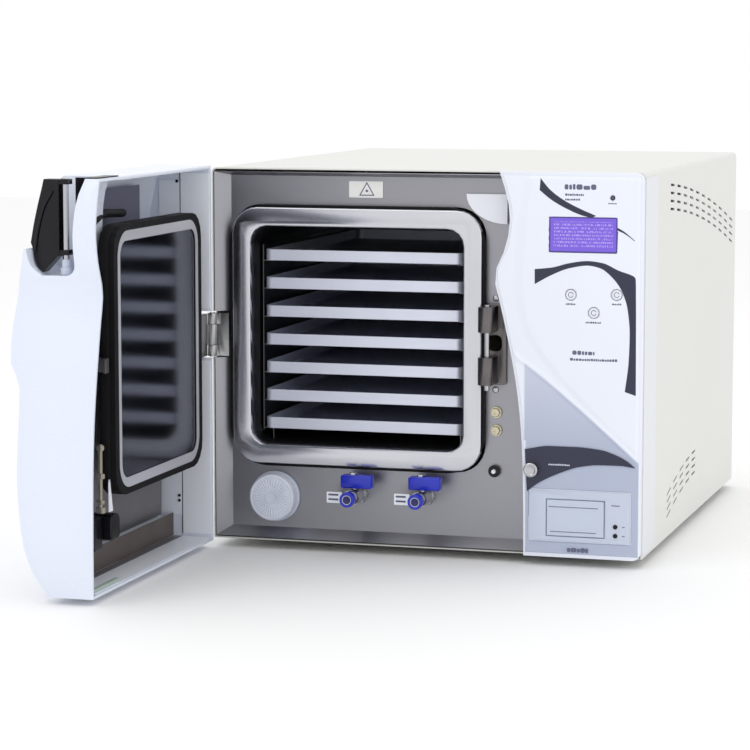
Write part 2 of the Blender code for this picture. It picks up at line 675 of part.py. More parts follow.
def air_filter():
    x, z = from_right(FILTER_PLACE)
    start = FASCIA_Y - 0.002 - FILTER_THICK
    disc = cylinder("Y", (x, start, z), 0.003, FILTER_RADIUS - 0.003, 32, FILTER_RADIUS)
    body = add_part("air_filter", disc, "filter_white", origin=(x, start, z))
    join(body, cylinder("Y", (x, start + 0.0029, z), FILTER_THICK - 0.0029, FILTER_RADIUS, 32))
    join(body, cylinder("Y", (x, start + FILTER_THICK - 0.001, z), 0.014, 0.0105, 16))


def valves():
    for side, place in VALVE_PLACES.items():
        x, z = from_right(place)
        tip = FRONT_Y - VALVE_REACH + FASCIA_RECESS
        stem_y = FRONT_Y - 0.012
        nut = FASCIA_Y - 0.0006 - 0.006
        name = "valve_body_" + side
        body = add_part(name, cylinder("Y", (x, tip, z), FASCIA_Y + 0.014 - tip, VALVE_RADIUS - 0.0008, 16),
                        "polished_steel", origin=(x, stem_y, z))
        join(body, cylinder("Y", (x, nut, z), 0.006, 0.0095, 6))
        join(body, cylinder("Y", (x, stem_y - 0.010, z), 0.020, 0.0088, 8))
        join(body, cylinder("Z", (x, stem_y, z), 0.0125, 0.0035, 12))
        cut(body, cylinder("Y", (x, tip - 0.01, z), 0.022, 0.0038, 12))
        length, height, depth = LEVER_SIZE
        floor = z + 0.0092
        left = x - length / 2 + LEVER_OFFSET
        lever = box((left, stem_y - depth / 2, floor), (left + length, stem_y + depth / 2, floor + height))
        lever = add_part("valve_lever_" + side, lever, "blue_plastic", origin=(x, stem_y, z))
        edge = lever.modifiers.new("edge", "BEVEL")
        edge.width = 0.0018
        edge.segments = 2
        cut(lever, cylinder("Z", (x, stem_y, floor - 0.002), 0.0055 + RUN, 0.0035 + RUN, 12))
        rings = [arc((x, z), COLLAR_RADIUS, 0, 342, 20), arc((x, z), VALVE_RADIUS - 0.0008 + GAP, 0, 337.5, 16)]
        collar = slab(rings, "XZ", tip - 0.0005, tip + 0.009)
        add_part("hose_collar_" + side, collar, "blue_plastic", origin=(x, tip, z))


def pocket_insert():
    """A quarter-round white cap in the fascia's upper right corner."""
    right = float(parting_x([INSERT_TOP]).item()) - 0.0035
    width, height = INSERT_SIZE
    sweep = [
        (right - width * math.cos(a), INSERT_TOP - height * math.sin(a)) for a in np.linspace(0, math.pi / 2, 10)
    ]
    start = FASCIA_Y - GAP - 0.004
    cap = slab([[(right, INSERT_TOP), *sweep]], "XZ", start, start + 0.004)
    add_part("handle_recess_cap", cap, "white_plastic", origin=(right, start, INSERT_TOP))


# ---- console ----------------------------------------------------------------------------------------


def console_outline(inset):
    """The console's front view, its wavy left edge and two round right corners, drawn in by inset."""
    heights = np.linspace(inset, BODY_HEIGHT - inset, 25)
    left = [(float(x) + inset, float(z)) for x, z in zip(parting_x(heights), heights)]
    radius = max(CONSOLE_CORNER - inset, 0.001)
    right, low, high = RIGHT_X - inset, inset, BODY_HEIGHT - inset
    corners = arc((right - radius, low + radius), radius, -90, 0, 5)
    corners += arc((right - radius, high - radius), radius, 0, 90, 5)
    return corners + left[::-1]


def console_housing():
    face = FRONT_Y - CONSOLE_THICK
    housing = slab([console_outline(0.0)], "XZ", face, FRONT_Y - GAP)
    housing = add_part("console_housing", housing, "console_plastic", origin=(RIGHT_X, face, 0))
    cut(housing, slab([console_outline(CONSOLE_WALL)], "XZ", face + CONSOLE_WALL, FRONT_Y + 0.01))
    holes = []

    def window(place, size, margin):
        x, z = from_right(place)
        half = (size[0] / 2 + margin, size[1] / 2 + margin)
        return box((x - half[0], face - 0.01, z - half[1]), (x + half[0], FRONT_Y, z + half[1]))

    holes.append(window((LCD_FROM_RIGHT, LCD_Z), LCD_SIZE, GAP))
    holes.append(window(PRINTER_PLACE, PRINTER_SIZE, -PRINTER_RIM + GAP))
    rounds = [(place, BUTTON_RADIUS + GAP) for place in BUTTON_PLACES.values()]
    rounds += [(LAMP_PLACE, LAMP_RADIUS + GAP), (KEY_PLACE, KEY_RADIUS - 0.002 + GAP)]
    for place, radius in rounds:
        x, z = from_right(place)
        holes.append(cylinder("Y", (x, face - 0.01, z), 0.02, radius, 18))
    cut(housing, merged(holes))


def console_controls():
    face = FRONT_Y - CONSOLE_THICK
    x, z = from_right((LCD_FROM_RIGHT, LCD_Z))
    half = (LCD_SIZE[0] / 2, LCD_SIZE[1] / 2)
    glass = box((x - half[0], face + 0.0008, z - half[1]), (x + half[0], FRONT_Y + 0.004, z + half[1]))
    add_part("display_screen", glass, "screen_glass", origin=(x, face, z))
    for name, place in BUTTON_PLACES.items():
        x, z = from_right(place)
        cap = cylinder("Y", (x, face - 0.0012, z), 0.0100, BUTTON_RADIUS, 20)
        add_part(name, cap, "grey_plastic", origin=(x, face, z))
    x, z = from_right(LAMP_PLACE)
    lens = cylinder("Y", (x, face - 0.0008, z), 0.008, LAMP_RADIUS, 12)
    add_part("status_lamp", lens, "dark_steel", origin=(x, face, z))
    x, z = from_right(KEY_PLACE)
    knob = cylinder("Y", (x, face - 0.006, z), 0.0055, KEY_RADIUS * 0.92, 24, KEY_RADIUS)
    knob = add_part("power_knob", knob, "polished_steel", origin=(x, face, z))
    join(knob, box((x - 0.0018, face - 0.0095, z - 0.0065), (x + 0.0018, face - 0.005, z + 0.0065)))
    join(knob, cylinder("Y", (x, face - 0.001, z), CONSOLE_THICK + 0.0005, KEY_RADIUS - 0.002, 16))


def printer():
    face = FRONT_Y - CONSOLE_THICK
    x, z = from_right(PRINTER_PLACE)
    half = (PRINTER_SIZE[0] / 2, PRINTER_SIZE[1] / 2)
    rim = box((x - half[0], face - 0.0018, z - half[1]), (x + half[0], face - GAP, z + half[1]))
    body = add_part("printer_body", rim, "grey_plastic", origin=(x, face, z))
    inner = (half[0] - PRINTER_RIM - GAP, half[1] - PRINTER_RIM - GAP)
    join(body, box((x - inner[0], face - 0.001, z - inner[1]), (x + inner[0], face + PRINTER_DEPTH, z + inner[1])))
    dx, dz = from_right(PAPER_DOOR_PLACE)
    door_half = (PAPER_DOOR_SIZE[0] / 2, PAPER_DOOR_SIZE[1] / 2)
    well = (door_half[0] + RUN, door_half[1] + RUN)
    cut(body, box((dx - well[0], face - 0.01, dz - well[1]), (dx + well[0], face + 0.001, dz + well[1])))
    bay = (door_half[0] - 0.003, door_half[1] - 0.003)
    cut(body, box((dx - bay[0], face - 0.01, dz - bay[1]), (dx + bay[0], face + PRINTER_DEPTH - 0.004, dz + bay[1])))
    low = dz - door_half[1]
    front = face - 0.0024
    flap = box((dx - door_half[0], front, low), (dx + door_half[0], front + PAPER_DOOR_THICK, dz + door_half[1]))
    flap = add_part("printer_door", flap, "grey_plastic", origin=(dx, front + 0.0004, low + 0.0004))
    edge = flap.modifiers.new("edge", "BEVEL")
    edge.width = 0.0006
    edge.segments = 1
    length = 2 * bay[0] - 0.004
    roll = cylinder("X", (dx - length / 2, face + 0.026, dz), length, 0.014, 20)
    add_part("paper_roll", roll, "filter_white", origin=(dx, face + 0.026, dz))
    for name, place in PRINTER_BUTTON_PLACES.items():
        bx, bz = from_right(place)
        cut(body, cylinder("Y", (bx, face - 0.01, bz), 0.02, PRINTER_BUTTON_RADIUS + GAP, 12))
        cap = cylinder("Y", (bx, face - 0.0030, bz), 0.0100, PRINTER_BUTTON_RADIUS, 12)
        add_part(name, cap, "black_plastic", origin=(bx, face, bz))


def control_board():
    width, thick, height = BOARD_SIZE
    x = RIGHT_X - 0.012 - width
    y = FRONT_Y + 0.022
    board = box((x, y, 0.215), (x + width, y + thick, 0.215 + height))
    board = add_part("control_board", board, "board_green", origin=(x, y, 0.215))
    join(board, box((x + 0.02, y + thick - 0.0002, 0.235), (x + 0.06, y + thick + 0.020, 0.275)))


# ---- internal machinery -----------------------------------------------------------------------------


def machinery():
    """Steam generator, vacuum pump and water tank, in the bay to the right of the chamber."""
    bay = CHAMBER_X + CHAMBER_OPENING / 2 + CHAMBER_WALL + JACKET_THICK + 0.012
    x = (bay + RIGHT_X - SHEET) / 2
    floor = SHEET + GAP
    y = FRONT_Y + 0.175
    boiler = add_part("steam_generator", cylinder("Z", (x, y, floor), 0.150, 0.036, 28), "stainless", (x, y, floor))
    join(boiler, cylinder("Z", (x, y, 0.150), 0.020, 0.012, 12))
    y = FRONT_Y + 0.320
    pump = cylinder("Y", (x, y, floor + 0.050), 0.150, 0.040, 28)
    pump = add_part("vacuum_pump", pump, "dark_steel", origin=(x, y, floor))
    join(pump, box((x - 0.045, y + 0.02, floor), (x + 0.045, y + 0.13, floor + 0.025)))
    y = FRONT_Y + 0.250
    lo = (bay + 0.004, y, 0.190)
    hi = (RIGHT_X - SHEET - 0.006, y + 0.290, 0.385)
    tank = open_box(lo, hi, ((0, 0, 1),), 0.004, "water_tank", "tank_plastic")
    tank.modifiers["wall"].use_even_offset = True


# ---- hinge and door, drawn shut from the hinge axis ---------------------------------------------------


def hinge():
    low, high = hinge_span()
    third = HINGE_HEIGHT / 4
    axis = (HINGE.x, HINGE.y)
    origin = (*axis, low)
    plate_x = LEFT_X + KNUCKLE_RADIUS + RUN
    plate = box((plate_x, FRONT_Y + 0.001, low), (LEFT_X + SLOPE_LEFT + 0.003, FRONT_Y + 0.005, high))
    bracket = add_part("hinge_bracket", plate, "stainless", origin=origin)
    for bottom, top in ((low, low + third), (high - third, high)):
        join(bracket, cylinder("Z", (*axis, bottom), top - bottom, KNUCKLE_RADIUS, 18))
        join(bracket, box((axis[0] + 0.0005, axis[1] + 0.0002, bottom), (plate_x + 0.002, FRONT_Y + 0.0045, top)))
    bore = PIN_RADIUS + GAP
    cut(bracket, cylinder("Z", (*axis, low - 0.01), HINGE_HEIGHT + 0.02, bore, 16))
    pin = cylinder("Z", (*axis, low - 0.001), HINGE_HEIGHT + 0.002, PIN_RADIUS, 16)
    add_part("hinge_pin", pin, "polished_steel", origin=origin)
    mid_low, mid_high = low + third + GAP, high - third - GAP
    knuckle = cylinder("Z", (0, 0, mid_low), mid_high - mid_low, KNUCKLE_RADIUS, 18)
    arm = add_part("hinge_arm", knuckle, "stainless", parent=hinge_axis)
    join(arm, box((0.0, -0.0090, mid_low), (0.0080, -0.0040, mid_high)), hinge_axis)
    join(arm, box((0.0072, -0.0090, low), (0.0300, -0.0030, high)), hinge_axis)
    join(arm, box((0.0240, -FRAME_DEPTH + GAP, low), (0.0300, -0.0030, high)), hinge_axis)
    cut(arm, cylinder("Z", (0, 0, low), HINGE_HEIGHT, bore, 16), hinge_axis)


def free_edge(heights):
    """Distance of the door's free edge from the hinge axis."""
    return parting_x(heights) - HINGE.x - DOOR_GAP


def door_block(inset, rim):
    """The door's outer form drawn in by inset, as the two slabs whose common part it is."""
    low, high = DOOR_BOTTOM + inset, DOOR_TOP - inset
    heights = np.linspace(low, high, 37)
    front = [(float(u) - inset, float(z)) for u, z in zip(free_edge(heights), heights)]
    left = 0.0005 + inset
    view = [(left, low), *front, (left, high)]
    profile = [(inset - float(t), float(z)) for t, z in zip(door_thickness(heights), heights)]
    profile = [(rim, low), (rim, high), *profile[::-1]]
    reach = float(free_edge(heights).max()) + 0.05
    return slab([view], "XZ", -0.15, 0.05), slab([profile], "YZ", -0.02, reach)


def pocket_profile(grow):
    """The handle pocket in the door's side view, as (y, z): open at the top and, higher up, at the face."""
    rises = np.linspace(POCKET_RADIUS, POCKET_INNER[-1][0], 7)
    inner = [(-float(t) + grow, float(z)) for t, z in zip(smooth(POCKET_INNER, rises), POCKET_BOTTOM + rises)]
    inner.append((inner[-1][0] + 0.002, BODY_HEIGHT + 0.02))
    centre = (-POCKET_INNER[0][1] - POCKET_RADIUS, POCKET_BOTTOM + POCKET_RADIUS)
    corner = arc(centre, POCKET_RADIUS + grow, 0, -90, 5)
    rises = np.linspace(0.0, POCKET_OUTER[-1][0], 6)
    outer = [(-float(t) - grow, float(z) - grow) for t, z in zip(smooth(POCKET_OUTER, rises), POCKET_BOTTOM + rises)]
    lip = POCKET_BOTTOM + POCKET_OUTER[-1][0] - grow
    return [*outer, (-0.13, lip), (-0.13, BODY_HEIGHT + 0.02), *inner[::-1], *corner]


def pocket_left():
    return SHAFT_FROM_HINGE - POCKET_REACH


def door_shell():
    view, profile = door_block(0.0, 0.0)
    shell = add_part("door_shell", view, "white_plastic", parent=hinge_axis)
    boolean(shell, "INTERSECT", add_cutter("door_profile", profile, hinge_axis))
    view, profile = door_block(DOOR_WALL, 0.03)
    hollow = add_cutter("door_hollow", view, hinge_axis)
    boolean(hollow, "INTERSECT", add_cutter("door_hollow_profile", profile, hinge_axis))
    walls = slab([pocket_profile(DOOR_WALL)], "YZ", pocket_left() - DOOR_WALL, SHAFT_FROM_HINGE + 0.08)
    boolean(hollow, "DIFFERENCE", add_cutter("pocket_walls", walls, hinge_axis))
    boolean(shell, "DIFFERENCE", hollow)
    cut(shell, slab([pocket_profile(0.0)], "YZ", pocket_left(), SHAFT_FROM_HINGE + 0.08), hinge_axis)
    cut(shell, cylinder("Z", (SHAFT_FROM_HINGE, -SHAFT_DEPTH, POCKET_BOTTOM - 0.03), 0.05, SHAFT_RADIUS + RUN, 14),
        hinge_axis)
    low, high = hinge_span((HINGE_NOTCH - HINGE_HEIGHT) / 2)
    cut(shell, box((-0.02, -0.036, low), (0.006, 0.02, high)), hinge_axis)


def pressure_plate():
    centre = (PLATE_U, CHAMBER_Z)
    face = PLATE_PROUD
    outline = round_rect(centre, (PLATE_WIDTH, PLATE_HEIGHT), PLATE_CORNER)
    plate = slab([outline], "XZ", face - 0.005, face)
    origin = (PLATE_U, 0, CHAMBER_Z)
    plate = add_part("pressure_plate", plate, "polished_steel", origin, hinge_axis)
    size = (PLATE_WIDTH - 2 * PLATE_RIM, PLATE_HEIGHT - 2 * PLATE_RIM)
    dish = slab([round_rect(centre, size, PLATE_CORNER - 0.012)], "XZ", face - PLATE_DISH, face + 0.01)
    core = (PLATE_WIDTH - 2 * GASKET_WIDTH, PLATE_HEIGHT - 2 * GASKET_WIDTH)
    back = slab([round_rect(centre, core, PLATE_CORNER - 0.006)], "XZ", face - PLATE_THICK, face - 0.004)
    join(plate, back, hinge_axis)
    cut(plate, dish, hinge_axis)
    seal = [
        outline,
        round_rect(centre, (core[0] + 2 * GAP, core[1] + 2 * GAP), PLATE_CORNER - 0.006),
    ]
    top = face - 0.005 - GAP
    add_part("door_gasket", slab(seal, "XZ", top - GASKET_THICK, top), "black_rubber", origin, hinge_axis)


def door_frame():
    """The steel sheet inside the door that carries the plate, with two lugs for the handle's shaft."""
    right = pocket_left() - DOOR_WALL - 0.004
    back, front = -FRAME_DEPTH - FRAME_SHEET, -FRAME_DEPTH
    low, high = CHAMBER_Z - FRAME_HEIGHT / 2, CHAMBER_Z + FRAME_HEIGHT / 2
    sheet = box((0.012, back, low), (right, front, high))
    frame = add_part("door_frame", sheet, "grey_plastic", (PLATE_U, front, CHAMBER_Z), hinge_axis)
    plate_back = PLATE_PROUD - PLATE_THICK - GAP
    join(frame, cylinder("Y", (PLATE_U, front - 0.001, CHAMBER_Z), plate_back - front + 0.001, 0.030, 24), hinge_axis)
    half = LUG_THICK / 2
    for z in (STRIKER_UPPER[1] + 0.020, STRIKER_LOWER[0] - 0.014):
        lug = box((right - 0.010, back, z - half), (SHAFT_FROM_HINGE + 0.0045, -SHAFT_DEPTH + 0.006, z + half))
        join(frame, lug, hinge_axis)
    bore = cylinder("Z", (SHAFT_FROM_HINGE, -SHAFT_DEPTH, SHAFT_BOTTOM - 0.02), 0.20, SHAFT_RADIUS + GAP, 14)
    cut(frame, bore, hinge_axis)


def handle():
    """Handle, shaft and latch hook, drawn from the shaft's axis."""
    top = DOOR_TOP - 0.001
    toe = POCKET_BOTTOM + POCKET_OUTER[1][0]
    heights = np.linspace(toe, top, 12)
    rises = heights - POCKET_BOTTOM
    face = door_thickness(heights) - 0.0005
    reach = np.minimum(face, smooth(POCKET_OUTER, rises) + 0.0013 * (rises > 0.028)) - RUN - 0.001
    reach = np.where(rises > POCKET_OUTER[-1][0] + 0.003, face, reach)
    outer = [(SHAFT_DEPTH - float(t), float(z)) for t, z in zip(reach, heights)]
    inner = -SHAFT_RADIUS - RUN
    base = [(outer[0][0] + 0.006, toe - 0.0055), (-0.0060, HANDLE_BOTTOM)]
    grip = slab([[(inner, HANDLE_BOTTOM), (inner, top), *outer[::-1], *base]], "YZ", -HANDLE_THICK / 2, HANDLE_THICK / 2)
    lever = add_part("handle_lever", grip, "black_plastic", parent=shaft_axis)
    for z in (HANDLE_BOTTOM + 0.001, top - 0.005):
        join(lever, box((-0.006, inner - 0.002, z), (0.006, SHAFT_RADIUS + 0.002, z + 0.005)), shaft_axis)
    cut(lever, cylinder("Z", (0, 0, HANDLE_BOTTOM - 0.03), 0.12, SHAFT_RADIUS + GAP, 14), shaft_axis)
    rod = cylinder("Z", (0, 0, SHAFT_BOTTOM), top - SHAFT_BOTTOM, SHAFT_RADIUS, 14)
    add_part("handle_shaft", rod, "polished_steel", parent=shaft_axis)
    shape = [(0.0032, -0.0060), (0.0065, 0.0), (0.0050, 0.0060), (-0.0035, 0.0090), (-0.0093, 0.0140)]
    shape += [(-0.0093, 0.0360), (-0.0014, 0.0360), (-0.0014, 0.0398), (-0.0088, 0.0398), (-0.0130, 0.0345)]
    shape += [(-0.0130, 0.0050), (-0.0055, -0.0060)]
    hook = slab([shape], "XY", HOOK_Z - HOOK_THICK / 2, HOOK_Z + HOOK_THICK / 2)
    hook = add_part("latch_hook", hook, "stainless", parent=shaft_axis)
    cut(hook, cylinder("Z", (0, 0, HOOK_Z - 0.02), 0.04, SHAFT_RADIUS + GAP, 14), shaft_axis)


def build():
    outer_cover()
    base_pan()
    rear_panel()
    power_inlet()
    feet()
    front_fascia()
    chamber()
    tray_rack()
    trays()
    striker()
    ports()
    door_sensor()
    air_filter()
    valves()
    pocket_insert()
    console_housing()
    console_controls()
    printer()
    control_board()
    machinery()
    hinge()
    door_shell()
    pressure_plate()
    door_frame()
    handle()
    hinge_axis.rotation_euler.z = -DOOR_OPEN_ANGLE


build()
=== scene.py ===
import json
import math

import bmesh
import bpy
import numpy as np
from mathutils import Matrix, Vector

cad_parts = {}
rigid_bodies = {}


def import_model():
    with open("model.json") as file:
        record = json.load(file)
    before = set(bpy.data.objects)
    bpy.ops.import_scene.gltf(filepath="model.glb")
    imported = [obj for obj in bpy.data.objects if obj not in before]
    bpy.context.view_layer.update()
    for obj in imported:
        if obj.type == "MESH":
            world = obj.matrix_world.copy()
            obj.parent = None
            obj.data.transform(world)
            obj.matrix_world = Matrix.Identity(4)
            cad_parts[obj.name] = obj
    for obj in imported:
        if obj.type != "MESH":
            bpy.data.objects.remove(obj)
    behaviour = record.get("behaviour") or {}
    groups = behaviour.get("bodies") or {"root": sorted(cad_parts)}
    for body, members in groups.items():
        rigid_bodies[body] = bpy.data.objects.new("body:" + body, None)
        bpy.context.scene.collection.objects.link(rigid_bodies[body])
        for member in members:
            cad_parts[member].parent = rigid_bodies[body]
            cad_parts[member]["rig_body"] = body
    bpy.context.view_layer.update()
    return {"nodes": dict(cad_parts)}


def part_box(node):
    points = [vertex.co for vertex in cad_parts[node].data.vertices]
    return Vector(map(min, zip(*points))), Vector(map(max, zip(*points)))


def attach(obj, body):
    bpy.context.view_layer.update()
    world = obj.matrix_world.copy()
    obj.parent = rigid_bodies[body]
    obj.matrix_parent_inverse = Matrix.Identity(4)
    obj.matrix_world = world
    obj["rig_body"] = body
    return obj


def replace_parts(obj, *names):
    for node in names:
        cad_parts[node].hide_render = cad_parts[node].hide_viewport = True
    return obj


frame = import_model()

nodes = frame["nodes"]
scene = bpy.context.scene
print("frame loaded:", len(nodes), "nodes")

# Places in metres: X to the machine's right, the front faces -Y
rightX = 0.235
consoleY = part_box("console_housing")[0].y
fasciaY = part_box("port_upper")[0].y + 0.005
hingeX, hingeY = -0.235, -0.286
rearY = 0.285  # face of the rear panel


def srgb(red, green, blue):  # screen values 0 to 255, as linear light
    screen = np.array((red, green, blue)) / 255
    return tuple(np.where(screen <= 0.04045, screen / 12.92,
                          ((screen + 0.055) / 1.055) ** 2.4).tolist()) + (1.0,)


def newGroup(name, inputs, outputs):  # a node group with its sockets, its input node and its output node
    group = bpy.data.node_groups.new(name, "ShaderNodeTree")
    for label, kind, value in inputs:
        made = group.interface.new_socket(name=label, in_out="INPUT", socket_type=kind)
        made.default_value = value
    for label, kind in outputs:
        group.interface.new_socket(name=label, in_out="OUTPUT", socket_type=kind)
    return group, group.nodes.new("NodeGroupInput"), group.nodes.new("NodeGroupOutput")


def mathNode(tree, operation, first, second):  # a socket is linked, and a number is set
    node = tree.nodes.new("ShaderNodeMath")
    node.operation = operation
    for place, value in enumerate((first, second)):
        if isinstance(value, bpy.types.NodeSocket):
            tree.links.new(value, node.inputs[place])
        else:
            node.inputs[place].default_value = value
    return node.outputs[0]


def mixColours(tree, factor, first, second):  # first * (1 - factor) + second * factor, both as screen colours
    node = tree.nodes.new("ShaderNodeMix")
    node.data_type = "RGBA"
    tree.links.new(factor, node.inputs[0])
    node.inputs[6].default_value = srgb(*first)
    node.inputs[7].default_value = srgb(*second)
    return node.outputs[2]


def makeTone():  # colour times (1 + amount * (noise - 0.5)), and the noise as a mask
    group, start, end = newGroup(
        "toneDrift",
        (("Colour", "NodeSocketColor", (1, 1, 1, 1)), ("Amount", "NodeSocketFloat", 0.1),
         ("Size", "NodeSocketFloat", 8.0)),
        (("Colour", "NodeSocketColor"), ("Mask", "NodeSocketFloat")),
    )
    place = group.nodes.new("ShaderNodeTexCoord")
    noise = group.nodes.new("ShaderNodeTexNoise")
    noise.inputs["Detail"].default_value = 4.0
    group.links.new(place.outputs["Object"], noise.inputs["Vector"])
    group.links.new(start.outputs["Size"], noise.inputs["Scale"])
    drift = mathNode(group, "SUBTRACT", noise.outputs["Fac"], 0.5)
    drift = mathNode(group, "MULTIPLY", drift, start.outputs["Amount"])
    factor = mathNode(group, "ADD", drift, 1.0)
    scaled = group.nodes.new("ShaderNodeVectorMath")
    scaled.operation = "SCALE"
    group.links.new(start.outputs["Colour"], scaled.inputs[0])
    group.links.new(factor, scaled.inputs["Scale"])
    group.links.new(scaled.outputs[0], end.inputs["Colour"])
    group.links.new(noise.outputs["Fac"], end.inputs["Mask"])
    return group


def makeGrain():  # noise of the place stretched by a vector, as a height
    group, start, end = newGroup(
        "surfaceGrain",
        (("Stretch", "NodeSocketVector", (1, 1, 1)), ("Size", "NodeSocketFloat", 900.0)),
        (("Height", "NodeSocketFloat"),),
    )
    place = group.nodes.new("ShaderNodeTexCoord")
    stretched = group.nodes.new("ShaderNodeVectorMath")
    stretched.operation = "MULTIPLY"
    noise = group.nodes.new("ShaderNodeTexNoise")
    noise.inputs["Detail"].default_value = 3.0
    group.links.new(place.outputs["Object"], stretched.inputs[0])
    group.links.new(start.outputs["Stretch"], stretched.inputs[1])
    group.links.new(stretched.outputs[0], noise.inputs["Vector"])
    group.links.new(start.outputs["Size"], noise.inputs["Scale"])
    group.links.new(noise.outputs["Fac"], end.inputs["Height"])
    return group


toneGroup, grainGroup = makeTone(), makeGrain()


def placeGroup(tree, group, **values):  # a node of a shared group, with values on its named inputs
    node = tree.nodes.new("ShaderNodeGroup")
    node.node_tree = group
    for label, value in values.items():
        node.inputs[label].default_value = value
    return node


roughSpread = 0.2  # share by which the grain varies a finish's roughness


def finish(name, colour, rough, metal=0.0, tone=0.05, size=9.0, grain=900.0, stretch=(1, 1, 1),
           relief=0.00003,
           strength=0.5, coat=0.0, shine=0.5):
    # colour drifts by tone over noise of that size; the grain moves the roughness between
    # rough * (1 - roughSpread) and rough * (1 + roughSpread), and is the height of a bump of that relief
    material = bpy.data.materials.new(name)
    material.use_nodes = True
    tree = material.node_tree
    shader = tree.nodes["Principled BSDF"]
    drift = placeGroup(tree, toneGroup, Colour=srgb(*colour), Amount=tone, Size=size)
    tree.links.new(drift.outputs["Colour"], shader.inputs["Base Color"])
    spread = tree.nodes.new("ShaderNodeMapRange")
    spread.inputs["To Min"].default_value = rough * (1 - roughSpread)
    spread.inputs["To Max"].default_value = min(1.0, rough * (1 + roughSpread))
    grainNode = placeGroup(tree, grainGroup, Stretch=stretch, Size=grain)
    tree.links.new(grainNode.outputs["Height"], spread.inputs["Value"])
    tree.links.new(spread.outputs["Result"], shader.inputs["Roughness"])
    bump = tree.nodes.new("ShaderNodeBump")
    bump.inputs["Strength"].default_value = strength
    bump.inputs["Distance"].default_value = relief
    tree.links.new(grainNode.outputs["Height"], bump.inputs["Height"])
    tree.links.new(bump.outputs["Normal"], shader.inputs["Normal"])
    shader.inputs["Metallic"].default_value = metal
    shader.inputs["Coat Weight"].default_value = coat
    shader.inputs["Specular IOR Level"].default_value = shine
    return material


